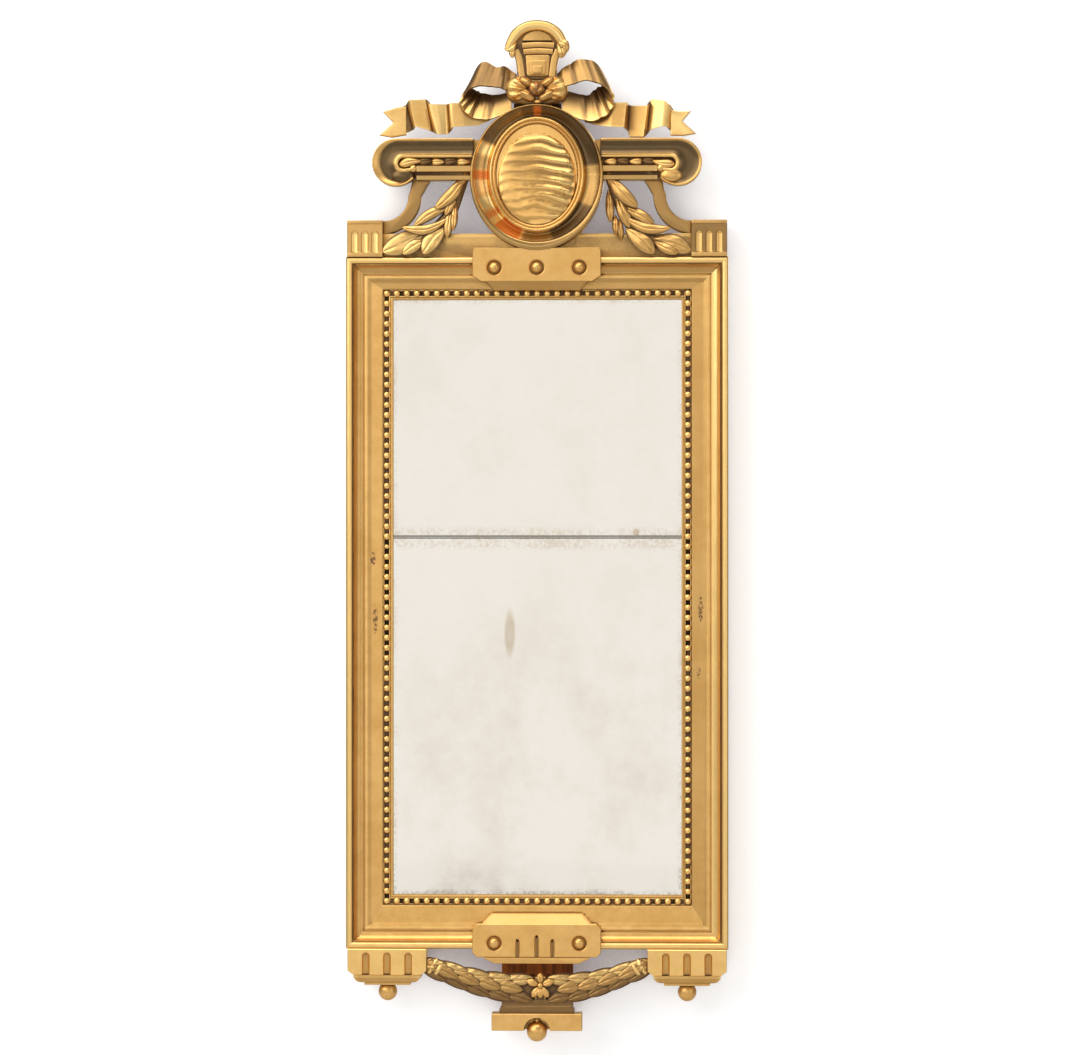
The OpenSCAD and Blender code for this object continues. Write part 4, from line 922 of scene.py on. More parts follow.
def scroll_bar(hand):
    """The bar: a burnished hollow that opens out round the scroll, above fillets and a hook. Painted dark
    reflections lie on the bar and its hollow, painted shade on its fillets and left mound, and painted
    highlights on its hook and eye.
    """
    carving = Carving()
    front, inner_end = BAR.front, RING.right - 4
    turn = math.degrees(math.asin((BAR_BOTTOM - SCROLL[1]) / SCROLL_R))
    outline = [(inner_end, BAR_BOTTOM)] + arc(SCROLL, SCROLL_R, -180 - turn, 90, 40) + [(inner_end, BAR.top)]
    carving.slab(flipped(outline, hand), BOARD_FRONT, BAR_FLOOR, 0.8, 4, tarnish=0.8)
    hollow(carving, hand)
    rim = level(BAR_START, SCROLL[0] - 2, BAR.top - 1.0, 18) + arc(SCROLL, 26.9, 90, -138, 49)
    carving.moulding(flipped(rim, hand), round_bead(1.1, 1.2, 8), front - 2.0)
    hook = level(BAR_START, HOOK[0], HOOK[1] + HOOK_R, 20) + arc(HOOK, HOOK_R, 84, -96, 21)
    hook += [(HOOK[0] - reach, HOOK[1] - HOOK_R + 0.14 * reach) for reach in (3.5, 6, 8.5)]
    count = np.arange(len(hook))
    rise = np.interp(count, [0, 19, 30, len(hook) - 1], [-1.2, -1.0, -0.2, -1.2])
    size = np.interp(count, [0, 16, 26, len(hook) - 1], [0.9, 1.0, 1.35, 1.1])
    carving.moulding(flipped(hook, hand), round_bead(1.9, 1.5, 4), front - 1.6 + rise, size, polish=0.35)
    eye = [(r * 1.2, front - 5 + d * 1.2) for r, d in ball_profile(3.9, 0.5)]
    carving.turning(eye, (hand * (HOOK[0] - 11.5), HOOK[1] - HOOK_R + 2.4), steps=24, polish=0.3)
    # Two fillets below the darts: height, half width, depth and painted shade.
    for height, half, out, dark in ((510.6, 3.7, 43.0, 0.42), (500.2, 2.9, 41.3, 0.5)):
        base, chamfer = out - 30, 0.6
        side = [(half, -base), (half, -0.8), (half - chamfer, 0)]
        section = [(-u, v) for u, v in side] + side[::-1]
        line = flipped(level(BAR_START, HOOK[0] - 15.5, height, 16), hand)
        carving.moulding(line, section, out, tarnish=dark)
    # The round end of the lower fillets, under the hook: radius and depth.
    mound = []
    for radius, out in ((11.4, 35), (11.2, 39.5), (10.2, 42.0), (7.6, 44.2), (3.4, 45.4), (0.3, 45.6)):
        ring = oval((HOOK[0] + 1, HOOK[1] - 14.6), radius * 1.25, radius * 0.86, 40)
        mound.append(flipped([(x, z, out) for x, z in ring], hand))
    # Painted shade on the left mound, little on the right.
    carving.tube(mound, tarnish=0.9 if hand < 0 else 0.15)
    return carving


def hollow(carving, hand):
    """The burnished hollow along the bar and round the scroll, with painted dark reflections across it that
    fade at its edges, left lighter along the outer edge on the left where it turns.
    """
    straight, round_, swing = 26, 46, 0.86
    inner_r, turn = HOOK_R + 1.7, math.degrees(0.22)
    rim, dip, dark_edge = 0.9, 3.8, 0.1
    outer = level(BAR_START, SCROLL[0], BAR.top - 2.0, straight + 1)[:-1]
    outer += arc(SCROLL, 26.0, 90, -128, round_ - 1)
    inner = level(BAR_START, HOOK[0], HOOK[1] + inner_r, straight + 1)[:-1]
    inner += arc(HOOK, inner_r, 90 * swing + turn, -128 * swing + turn, round_ - 1)
    across = np.linspace(0, 1, 13)[None, :]
    grid = np.array(outer)[:, None] * (1 - across[..., None]) + np.array(inner)[:, None] * across[..., None]
    depth = BAR.front - rim - dip * (1 - (2 * across - 1) ** 2) ** 0.8 + np.zeros((len(outer), 1))
    turned = np.concatenate([np.zeros(straight), np.sin(np.linspace(0, math.pi, round_))])[:, None]
    bright_rim = 0.0 if hand > 0 else 0.22
    dark = np.clip(np.minimum(across - bright_rim * turned, 1 - across) / dark_edge, 0, 1)
    carving.relief(flipped(np.dstack([grid, depth]), hand), BAR_FLOOR - 1, tarnish=0.97 * dark)


def dart_strip(hand):
    """The row of darts in the channel of the bar, ending in the eye of the scroll. Painted shade darkens the
    ground and every other dart; the other darts and the eye leaf get painted highlights.
    """
    carving = Carving()
    box = Box("carved_strip_right")
    ground = rectangle(BAR_START, box.right, box.bottom, box.top)
    carving.slab(flipped(ground, hand), box.back, box.back + 1.0, 0.3, 5, tarnish=0.9)
    darts = 4
    pitch = (box.right - RING.right) / darts
    for i in range(darts):
        odd, x = i % 2, RING.right + pitch * i
        base = (hand * (x + pitch * 1.05), box.z - 0.5, box.back + 1.8)
        tip = (hand * (x + 0.5), box.z + (0.9 if odd else -0.9), box.back + 3.2)
        carving.leaf(base, tip, box.height * 1.02, arch=0.9, full=0.34, veins=1, rim=0.7,
                     polish=0.35 * (1 - odd), tarnish=0.85 * odd)
    base, tip = flipped([(box.right - 3, box.z + 0.5, 40.2), (HOOK[0] + 5.0, HOOK[1] - 2.0, 43.2)], hand)
    carving.leaf(base, tip, 11.0, crown=3.0, bend=-1.5, arch=1.4, full=0.66, veins=1, polish=0.3)
    return carving


def crest_board():
    """The board of the crest: panel, brackets, the strip behind the bar and an oval. The panel gets a painted
    highlight against the shade it lies in, the brackets painted shade.
    """
    box, block = Box("crest_board"), Box("top_block_right")
    inner, back, front = block.left, box.back, box.front
    carving = Carving()
    panel_h = 28.0
    carving.slab(rectangle(-inner, inner, FRAME_TOP, FRAME_TOP + panel_h), back, front, 0.5, 5, polish=0.37)
    behind_bar = rectangle(-SCROLL[0], SCROLL[0], BAR_BOTTOM, BAR.top - 0.5)
    carving.slab(behind_bar, back + 0.3, front - 0.2, 0.4, 8)
    behind_ring = oval((0, RING.z), RING.width / 2 - 8, RING.height / 2 - 8, 96)
    carving.slab(behind_ring, back + 0.6, front - 0.1, 0.3)
    # The brackets curve up from the blocks to the bar.
    bracket_r, width = 29.5, 15.5
    x, z = inner, FRAME_TOP + block.height + bracket_r
    bracket = arc((x, z), bracket_r, 270, 180, 22)
    bracket += [(x - bracket_r - 2.4, z + 7), (x - bracket_r - 5, BAR_BOTTOM + 3)]
    far = x - bracket_r - width
    bracket += [(far - 13, BAR_BOTTOM + 3), (far - 7, BAR_BOTTOM - 5.5), (far - 1.5, z + 2)]
    bracket += arc((x, z), bracket_r + width, 180, 270, 26)
    disc = [(SCROLL_R - 1.2, back + 1.2), (SCROLL_R - 1.2, front - 0.5), (SCROLL_R - 1.6, front)]
    for hand in (-1, 1):
        carving.slab(flipped(bracket, hand), back + 0.9, front, 1.6, tarnish=0.22)
        carving.turning(disc, (hand * SCROLL[0], SCROLL[1]), steps=56)
    return carving


def face(box, front, flutes=(), corners=(), pitch=0.8, rounding=0.7, drop=0.7):
    """A grid over a block's face, its edges rounded off.

    A flute is x, bottom, top, radius and cut. A corner is a height, -1 for the bottom or 1 for
    the top, and how far the block's ends are cut in there.
    """
    rows, columns = round(box.height / pitch) + 1, round(box.width / pitch) + 1
    z = box.bottom + box.height * np.linspace(0, 1, rows)[:, None] + np.zeros(columns)
    inset = np.zeros_like(z)
    for height, side, cut in corners:
        inset = np.maximum(inset, cut * fading(z - box.bottom if side < 0 else box.top - z, height))
    x = box.left + inset + (box.width - 2 * inset) * np.linspace(0, 1, columns)
    near = np.minimum.reduce([x - box.left - inset, box.right - inset - x, z - box.bottom, box.top - z])
    depth = front - drop * fading(near, rounding) ** 2
    for middle, low, high, radius, cut in flutes:
        reach = np.hypot(x - middle, z - np.clip(z, low, high))
        depth -= cut * np.sqrt(np.clip(1 - (reach / radius) ** 2, 0, 1))
    return np.dstack([x, z, depth])


def top_block(hand):
    """A fluted block above the frame, with a cap and a base strip. Its flutes get painted highlights, and the
    right block's face painted shade.
    """
    box = Box("top_block_right")
    cap, strip, radius, cut = 4.2, 6.0, 3.9, 2.2
    front = box.front - 1.2
    low, high = box.bottom + strip + 1, box.top - cap - 8 - radius
    grid = face(box, front, [(box.right - d, low, high, radius, cut) for d in (9.0, 21.0, 33.0)], pitch=0.75)
    in_flute = np.clip(front - grid[..., 2] - 0.3, 0, 1) * (grid[..., 1] > box.bottom + strip)
    bright, tarnish_and_shade_share = (0.45, 0.35) if hand > 0 else (0.9, 0.0)
    carving = Carving()
    carving.relief(flipped(grid, hand), box.back, polish=in_flute * bright, tarnish=tarnish_and_shade_share * (1 - in_flute))
    bands = (box.top - cap, box.top, box.front), (box.bottom, box.bottom + strip - 1, box.front - 0.5)
    for low, high, out in bands:
        carving.slab(flipped(rectangle(box.left, box.right, low, high), hand), front - 3, out, 0.6, 4)
    return carving


class PIERMIRROR_OT_crest(bpy.types.Operator):
    """Make the pierced crest board, the scrolled bar and the fluted blocks"""

    bl_idname = "pier_mirror.crest"
    bl_label = "Crest Board and Scrolls"

    def execute(self, context):
        crest_board().make("gilt_crest_board", "crest_gilding", "crest_board")
        for name, hand in SIDES:
            bar = scroll_bar(hand)
            bar.make(f"burnished_scroll_{name}", "bar_gilding", f"scroll_bar_{name}", "burnished_gilding")
            dart_strip(hand).make(f"darts_{name}", "crest_gilding", f"carved_strip_{name}")
            top_block(hand).make(f"gilt_top_block_{name}", "crest_gilding", f"top_block_{name}")
        return {"FINISHED"}


# ---- Medallion ----


# Painted reflections in the ring's cove, where it is dark, red or bright: a share, then from and to in
# degrees.
RING_SHEEN = {
    "tarnish": (
        (1, 8, 104), (0.8, 104, 150), (0.5, 162, 176), (0.6, 255, 286), (1, 286, 331), (0.54, 331, 361),
        (0.54, -1, 7),
    ),
    "bole": (
        (0.6, 85, 94), (0.25, 162, 176), (0.8, 176, 184), (0.45, 184, 199), (0.6, 214, 222), (0.95, 228, 253),
        (0.35, 266, 276),
    ),
    "polish": ((0.8, 151, 161), (0.7, 183, 197), (1, 201, 213), (0.8, 222, 228), (0.2, 332, 341)),
}
# The ring's section, as distances in from its outer edge (across, up and down) and from its front.
RING_OUTSIDE = (
    (0, 0, 5), (0.5, 0.6, 2.2), (1.4, 1.8, 1.1), (2.8, 3.6, 1.0), (3.8, 5.6, 2.0), (4.6, 6.6, 3.6),
    (7, 8.6, 5.6), (10.5, 11.2, 8.0), (14, 13.6, 9.9), (17, 15.4, 10.9),
)
# The rest of it, from the edge of the field outwards and then inwards.
RING_INSIDE = (
    (-2.8, -1.9, 10.6), (-1.4, -1.0, 8.0), (-0.2, -0.2, 5.2), (1, 1, 3.8), (2.4, 2.4, 3.4), (3.6, 3.6, 4.4),
    (4.3, 4.3, 5.6), (5.4, 5.4, 5.0), (6.6, 6.6, 5.2), (7.6, 7.6, 6.6), (8, 8, 8.5),
)


def arc_share(angle, start, end):
    """1 between two angles in degrees and 0 outside them, soft over a few degrees."""
    soft = 3.5
    return np.clip((angle - start) / soft + 0.5, 0, 1) * np.clip((end - angle) / soft + 0.5, 0, 1)


def medallion_ring():
    """The oval ring: a thin rim, a burnished cove and a double fillet round the field. Its cove carries
    painted reflections, its rims and fillets painted shade.
    """
    a, b, front = RING.width / 2, RING.height / 2, RING.front
    in_a, in_b, rise = 56.0, 67.5, 3.5
    lifts = [0, 0, rise / 4, rise / 2] + [rise] * 6
    rows = [(a - u, b - v, front - d, up) for (u, v, d), up in zip(RING_OUTSIDE, lifts)]
    rows += [(in_a - u, in_b - v, front - d, rise) for u, v, d in RING_INSIDE]
    behind = [(a, b, BOARD_FRONT, 0)], [(*rows[-1][:2], BOARD_FRONT, rise)]
    profile = np.concatenate([behind[0], rows[:1], spline(rows, 3)[1:], behind[1]])
    angle = np.linspace(0, math.tau, 208, endpoint=False)[:, None]
    w, h, depth, up = profile.T[:, None, :]
    rings = np.dstack([w * np.cos(angle), RING.z + h * np.sin(angle) + up, depth + 0 * angle])
    in_cove = (w > in_a + 2) & (w < a - 4) & (depth < front - 2)
    shares = {}
    for name, arcs in RING_SHEEN.items():
        shares[name] = in_cove * sum(share * arc_share(np.degrees(angle), *ends) for share, *ends in arcs)
    # Painted shade on the rims and fillets outside the cove, more on the outer rim.
    shares["tarnish"] = shares["tarnish"] + (1 - in_cove) * (0.2 + 0.3 * (w > a - 4))
    carving = Carving()
    carving.tube(rings, closed=True, **shares)
    return carving


def medallion_field(ripples):
    """The oval field: a swelling crossed by arched ripples, sharp above and lumpy below. Painted highlights
    lie on the ridges toward the right, a little painted shade all over, and more over the upper half and in
    the troughs.
    """
    box = Box("medallion_field")
    low, swell, cut = RING.front - 9.4, 4.0, 3.0
    field_a, field_b, crest_share, pinhole = 45.5, 55.0, 0.26, 0.05
    share = np.linspace(0, 1, 65)[:, None]
    angle = np.linspace(0, math.tau, 144, endpoint=False)[None, :]
    x, z = box.width / 2 * share * np.cos(angle), box.z + box.height / 2 * share * np.sin(angle)
    u, v = x / field_a, (z - (RING.z - 3.5)) / field_b
    inside = np.clip(1 - u * u - v * v, 0, 1)
    on_field = inside > 0
    phase = ripples * (0.5 * (v + 0.15 * (u + 0.12) ** 2) + 0.035 * lumps(x, z, 30, 22, 4.0))
    wave = phase - np.floor(phase)
    ridge = np.where(wave < crest_share, wave / crest_share, (1 - wave) / (1 - crest_share))
    ridge = ridge * ridge * (3 - 2 * ridge)
    strength = np.clip(0.62 + 0.60 * u + 0.32 * v, 0.2, 1.15)
    rough = lumps(x, z, 7, 5, 1.0) * np.clip(0.35 - v, 0, 1) * 0.5
    depth = low + on_field * (swell * np.sqrt(inside) + inside**0.22 * (cut * ridge * strength + rough))
    rings = np.dstack([x, z, depth])
    # The innermost ring is a point, opened a little.
    rings[0, :, 0] += pinhole * np.cos(angle[0])
    rings[0, :, 1] += pinhole * np.sin(angle[0])
    back = np.dstack([x[-1:], z[-1:], np.full_like(x[-1:], BOARD_FRONT)])
    bright = 0.8 * np.clip(0.1 + u, 0, 1) * np.clip(1.2 * ridge - 0.2, 0, 1) * on_field
    dark = (0.12 + 0.18 * np.clip(3 * v, 0, 1) + 0.42 * np.clip(1 - 1.6 * ridge, 0, 1) * strength) * on_field
    carving = Carving()
    carving.tube(np.concatenate([rings, back]), polish=np.concatenate([bright, bright[-1:]]),
                 tarnish=np.concatenate([dark, dark[-1:]]))
    return carving


class PIERMIRROR_OT_medallion(bpy.types.Operator):
    """Make the oval medallion: its burnished ring and its rippled field"""

    bl_idname = "pier_mirror.medallion"
    bl_label = "Medallion"

    def execute(self, context):
        ring = medallion_ring()
        ring.make("burnished_medallion_ring", "burnished_gilding", "medallion_ring", "burnished_gilding")
        field = medallion_field(context.scene.pier_mirror.carving.ripples)
        field.make("gilt_medallion_field", "field_gilding", "medallion_field")
        return {"FINISHED"}


# ---- Bow ----


# Edges of the side loops as x, height and depth, from the knot outwards and back below.
RIGHT_LOOP = (
    (
        (24, 601, 46), (40, 608.5, 48), (58, 613, 48), (75, 609, 48), (87, 600, 47), (90.5, 588, 46),
        (86, 577, 45), (75, 569, 44), (61, 566, 43), (46, 570, 42), (30, 579, 41),
    ),
    (
        (24, 622, 33), (36, 632, 33), (49, 638.5, 33), (66, 637, 31), (78, 622, 29), (77, 610, 28),
        (71, 606, 28), (66, 602, 28), (58, 597, 28.5), (43, 600, 31), (30, 604, 34),
    ),
)
LEFT_LOOP = (
    (
        (24, 600, 46), (38, 603, 48), (56, 607, 48), (74, 605.5, 48), (86, 598, 47), (89.5, 587, 46),
        (84, 577, 45), (74, 570, 44), (60, 568, 43), (45, 572, 42), (30, 579, 41),
    ),
    (
        (24, 621, 33), (36, 630, 33), (48, 630.5, 33), (64, 636.5, 31), (75, 621, 29), (76, 606, 28),
        (71, 603, 28), (66, 600.5, 28), (56, 598.5, 28.5), (43, 598.5, 31), (30, 602, 34),
    ),
)
# Creases across a side loop: a place along it, how far it stands out, and its width.
LOOP_PLEATS = (
    (0.06, 1.2, 0.02), (0.13, -1.6, 0.015), (0.20, 1.0, 0.018), (0.26, -0.8, 0.012), (0.44, 1.1, 0.015),
    (0.49, -0.9, 0.014), (0.54, 1.2, 0.014), (0.59, -1.2, 0.014), (0.64, 1.2, 0.015), (0.69, -1.3, 0.016),
    (0.76, 1.0, 0.02), (0.83, -1.0, 0.02),
)
# The tails' folds: x above, x below, top, bottom, depth, and painted highlight, or painted shade where below
# 0.
RIGHT_TAIL = (
    (58, 56, 586, 566, 29, -0.4), (72, 70, 588, 562, 31, 0.0), (89, 86, 588, 560, 38, 0.2),
    (105, 102, 588, 559, 40, 0.2), (108, 107, 586, 556, 28, -0.8), (112, 109, 585, 548, 29, -0.25),
    (130, 125, 584.5, 547, 36, 0.0), (133, 130, 590, 553, 29, -0.8), (136, 133, 592.5, 557, 31, 1.0),
    (150, 147, 590, 560, 40, 1.0), (156, 153, 585, 559.5, 39, 0.3), (159, 157, 581, 556, 29, -0.6),
    (162, 161, 579, 552, 30, 1.0),
)
LEFT_TAIL = (
    (58, 56, 586, 568, 29, -0.3), (72, 70, 588, 562, 32, 0.8), (88, 86, 588.5, 561, 36, 0.4),
    (101, 99, 588, 560, 37.5, 0.4), (105.5, 103, 587, 554, 34, -0.8), (108, 106, 586.5, 551.5, 38, 1.0),
    (118, 112, 586.5, 551.5, 40, 1.0), (126, 116.5, 586.5, 551.5, 41, 1.0), (130, 123, 592, 555, 31, -0.8),
    (132, 126, 592.8, 556, 34.5, 0.3), (150, 143.5, 592, 561, 36, 0.3), (154, 147, 587, 557, 29, -0.9),
    (163, 160, 583, 551, 30, 0.2),
)
# The forked ends of the tails.
RIGHT_FORK = (156, 580), (168, 578), (181, 578.5), (171, 566.5), (187, 552), (173, 549.5), (157, 550)
LEFT_FORK = (154, 585), (166, 583.5), (182, 578.5), (169.5, 565.5), (186, 551), (171, 548.5), (154, 551.5)


def lobe(carving, centre, half_a, half_b, turn, back, front, folds=0, fold_depth=0.8, **tones):
    """A rounded lump with folds that fan out from one end, with painted shade round its foot."""
    rows, steps, foot = 14, 44, 4
    c, s = math.cos(math.radians(turn)), math.sin(math.radians(turn))
    climb = (np.arange(rows + 1) / rows * math.pi / 2)[:, None]
    a = (np.arange(steps) * math.tau / steps)[None, :]
    r = np.maximum(0.02, np.cos(climb))
    p, q = half_a * r * np.cos(a), half_b * r * np.sin(a)
    fan = np.arctan2(q, p + half_a * 1.25)
    depth = back + (front - back) * np.sin(climb) ** 0.8
    depth = depth + (fold_depth * np.cos(folds * fan * 2.4) * (1 - r) ** 0.4 if folds else 0 * a)
    rings = np.dstack([centre[0] + p * c - q * s, centre[1] + p * s + q * c, depth])
    base = rings[:1].copy()
    base[..., 2] = back - foot
    rim = np.repeat(np.clip(1.3 - np.arange(-1, rows + 1) / 2.2, 0, 1), steps)
    carving.tube(np.concatenate([base, rings]), dirt=0.8 * rim, **tones)


def bow_knot():
    """The knot: two soft lobes drawn into a crumpled middle. Painted shade darkens its core and middle, and
    painted highlights lighten the lobes.
    """
    carving = Carving()
    top, bottom, front = KNOT.top, KNOT.bottom, KNOT.front
    middle = (top + bottom) / 2 + 1.5
    core = spline([
        (-33, top - 9), (-20, top - 3), (0, top - 5), (20, top - 3), (34, top - 9), (34, bottom + 9),
        (18, bottom + 3), (0, bottom + 1.5), (-18, bottom + 3), (-33, bottom + 9),
    ], 6, closed=True)
    carving.slab(core, SPINE_FRONT, front - 13, 3.0, tarnish=0.5)
    for hand in (-1, 1):
        lobe(carving, (hand * 23.5, middle + 1), 13.6, 14.5, 90 - hand * 80, front - 16, front - 4.5, 6, 1.9,
             polish=0.3)
        lobe(carving, (hand * 12, middle - 6.5), 11.5, 6.5, 90 + hand * 122, front - 12, front - 4, 4, 1.1)
        lobe(carving, (hand * 12, middle + 8.5), 9.5, 5.0, 90 - hand * 62, front - 12, front - 4.5, 3, 0.9)
    lobe(carving, (0, middle + 1), 8.6, 9.5, 90, front - 12, front - 1.2, 4, 1.2, bole=0.45, tarnish=0.3)
    lobe(carving, (-3.2, middle + 3.5), 3.8, 5.6, 60, front - 9, front - 0.6, polish=0.6)
    lobe(carving, (4.0, middle - 1.5), 3.4, 6.2, 110, front - 9, front - 0.8, tarnish=0.2)
    lobe(carving, (1.2, bottom + 5.2), 3.0, 5.2, 90, front - 12, front - 4.0, polish=0.3)
    return carving


def top_loop():
    """The hooded loop above the knot: a broad arch over pleats and nested folds. Painted shade darkens its
    neck, and painted highlights lighten the hood, the ears, the left ones more, and the folds.
    """
    carving = Carving()
    box = Box("bow_top_loop")
    base, top, front = KNOT.top - 3, box.top, box.front
    neck = spline([
        (-20, base), (20, base), (22.5, top - 47), (27.5, top - 37), (30, top - 28), (24, top - 12),
        (0, top - 6), (-24, top - 12), (-30, top - 28), (-27, top - 38), (-22, top - 48),
    ], 6, closed=True)
    carving.slab(neck, SPINE_FRONT, front - 8.0, 2.0, tarnish=0.6)
    # The hood, drawn out to an ear on each side.
    path = spline([
        (-34, top - 33), (-30, top - 25), (-22.5, top - 14.5), (-12, top - 8.1), (0, top - 6.1),
        (13, top - 8.4), (23, top - 15), (29.5, top - 24.5), (33, top - 31),
    ], 8)
    width = np.interp(np.linspace(0, 1, len(path)), [0, 0.2, 0.5, 0.8, 1], [0.62, 1.05, 1.0, 1.1, 0.7])
    hood = [
        (-6, -14), (-6, -4.6), (-5.2, -2.2), (-2.8, -0.4), (-0.4, 0.5), (1.6, 0.2), (2.4, -0.9), (3.4, -0.8),
        (5.0, -1.9), (6, -4.4), (6, -14),
    ]
    carving.moulding(path, hood, front - 0.6, width, polish=0.9)
    # Leaves of the ears: stalk and tip as x, fall from the top and from the front, width and bend.
    ears = (
        ((-24, 26, 6), (-37.8, 35.0, 3.2), 10.5, 2.0), ((-27, 29, 8), (-29, 44.5, 6), 8, -1.0),
        ((24, 22, 5), (38, 29.5, 2.6), 11, -2.0), ((25, 26, 7), (29.5, 45, 5), 12, 2.5),
        ((28, 24, 6), (36, 38, 3.5), 10, 1.5),
    )
    for *ends, wide, bend in ears:
        stalk, tip = [(x, top - fall, front - back) for x, fall, back in ends]
        carving.leaf(stalk, tip, wide, bend=bend, thick=6, full=0.58, veins=2, rim=0.5,
                     polish=0.8 if stalk[0] < 0 else 0.3)
    # The far side of the ribbon under the hood, in level pleats and nested folds.
    inner = spline(
        [(-17.5, top - 24.8), (-12.5, top - 16.8), (0, top - 12.2), (13.5, top - 16.6), (18.5, top - 24.8)], 7
    )
    dome = [*inner, (18.5, top - 24.9), (-17.5, top - 24.9)]
    carving.slab(dome, SPINE_FRONT + 3, front - 5.6, 1.0, 3)
    for half, fall in ((18.0, 28.8), (16.5, 36.2)):
        line = spline([(-half + 1, top - fall - 1.0), (1, top - fall), (half + 2, top - fall - 0.8)], 10)
        carving.moulding(line, round_bead(3.3, 1.5, 8), front - 6.6, polish=0.1)
    for half, high, low, out in ((14.4, 40.6, 66.0, 6.4), (10.2, 47.4, 64.5, 4.6), (6.2, 53.8, 63.0, 2.9)):
        foot = half * 0.88
        fold = [(1 - half, top - high), (1 + half, top - high), (1 + foot, top - low), (1 - foot, top - low)]
        carving.slab(softened(fold, 2.6), SPINE_FRONT + out, front - out, 1.3, 2.5, polish=0.15)
    side = [(-4.6, -12), (-4.6, -2.0), (-3.4, -0.4), (0, 0.3), (3.4, -0.4), (4.6, -2.0), (4.6, -12)]
    for hand in (-1, 1):
        band = spline([(hand * 25.0, top - 35), (hand * 20.5, top - 46), (hand * 17.5, base + 1)], 7)
        carving.moulding(band, side, front - 7.0, polish=0.1)
    return carving


def side_loop(hand, edges):
    """A drooping loop of ribbon, seen partly from its outside and partly from its inside. Painted shade
    darkens its inside, its folds and the outside next to the knot, and a painted highlight lies along its
    lower part.
    """
    near, far = (spline(flipped(edge, hand), 9) for edge in edges)
    carving = Carving()
    run = np.linspace(0, 1, len(near))[:, None]
    turn_in, outside = 0.40, 0.45
    inside = np.clip((run - turn_in) / 0.06, 0, 1) * np.linspace(0.0, 1.5, 12)[None, :]
    fold = sum(np.exp(-(((run - place) / width) ** 2)) for place, rise, width in LOOP_PLEATS if rise < 0)
    dark = 0.62 * inside**1.5 + 0.5 * fold + (0.28 if hand > 0 else 0.5) * (run < turn_in)
    carving.strip(near, far, 2.2, creases=LOOP_PLEATS, belly=0.5, polish=0.35 * (run > outside),
                  tarnish=np.clip(dark, 0, 0.95))
    return carving


def ribbon_tail(hand, rows, fork):
    """A folded tail with a forked end; its folds carry painted highlights and painted shade, and its fork a
    painted highlight.
    """
    carving = Carving()
    steps, fork_back, fork_front = 6, 24, 33.5
    rows = np.array(rows, float)
    t = np.linspace(0, len(rows) - 1, (len(rows) - 1) * steps + 1)
    columns = [np.interp(t, np.arange(len(rows)), column) for column in rows.T]
    above, below, top, bottom, depth, shine = columns
    near, far = np.column_stack([below, bottom, depth]), np.column_stack([above, top, depth])
    carving.strip(flipped(near, hand), flipped(far, hand), 2.6, belly=-0.5,
                  polish=np.clip(shine, 0, 1)[:, None], tarnish=np.clip(-shine, 0, 1)[:, None])
    shine = 1.0 if hand > 0 else 0.45
    carving.slab(flipped(fork, hand), fork_back, fork_front, 1.1, 3, polish=shine)
    return carving


class PIERMIRROR_OT_bow(bpy.types.Operator):
    """Make the ribbon bow: knot, hooded loop, side loops and tails"""

    bl_idname = "pier_mirror.bow"
    bl_label = "Ribbon Bow"

    def execute(self, context):
        bow_knot().make("gilt_bow_knot", "crest_gilding", "bow_knot")
        top_loop().make("gilt_bow_top_loop", "crest_gilding", "bow_top_loop")
        for name, hand, edges in (("right", 1, RIGHT_LOOP), ("left", -1, LEFT_LOOP)):
            side_loop(hand, edges).make(f"gilt_bow_loop_{name}", "crest_gilding", f"bow_loop_{name}")
        tails = ("right", 1, RIGHT_TAIL, RIGHT_FORK), ("left", -1, LEFT_TAIL, LEFT_FORK)
        for name, hand, rows, fork in tails:
            tail = ribbon_tail(hand, rows, fork)
            tail.make(f"gilt_ribbon_tail_{name}", "crest_gilding", f"ribbon_tail_{name}")
        return {"FINISHED"}


# ---- Garlands ----


# Leaves as stalk (x, height, depth), tip (x, height, depth), width and bend.
RIGHT_LEAVES = (
    ((82, 512, 33), (90, 486, 37), 7, -1.0),
    ((82, 504, 34), (118.5, 464.5, 43.5), 14.5, -2.0),
    ((84, 486, 33), (86.5, 447, 40), 9, 0.5),
    ((92, 456, 35), (93, 432.5, 40), 7.5, 0.0),
    ((94, 478, 34), (109, 441, 38), 13, 0.0),
    ((97, 452, 35), (99, 426, 38), 7.5, 0.0),
    ((101, 466, 35), (139, 443, 41), 12, 1.5),
    ((101, 455, 37), (158, 440, 44), 11, -7.5),
    ((105, 440, 35), (138, 410.5, 42.5), 18, 1.0),
    ((133, 427, 35), (181.5, 413.5, 41), 20, 2.5),
    ((137, 425, 37), (166, 410.5, 42.5), 11, -1.0),
)
LEFT_LEAVES = (
    ((80, 516, 33), (90, 490, 37), 8, -1.0),
    ((85, 503, 34), (119.5, 463.5, 42.5), 13.5, -3.5),
    ((96, 484, 34), (108, 456, 39), 10, -1.0),
    ((100, 468, 36), (145, 443, 42), 11, 3.0),
    ((96, 470, 35), (98.5, 437.5, 41), 7.5, 0.0),
    ((102, 464, 34), (106, 430, 38), 10, 0.0),
    ((105, 452, 38), (158.5, 441.5, 44), 10.5, -8.0),
    ((109, 441, 36), (134, 410.5, 43), 18, 2.0),
    ((127, 440, 35), (181.5, 412.5, 41.5), 23, -1.5),
    ((130, 428, 37), (158, 410.5, 43), 13, 1.0),
)


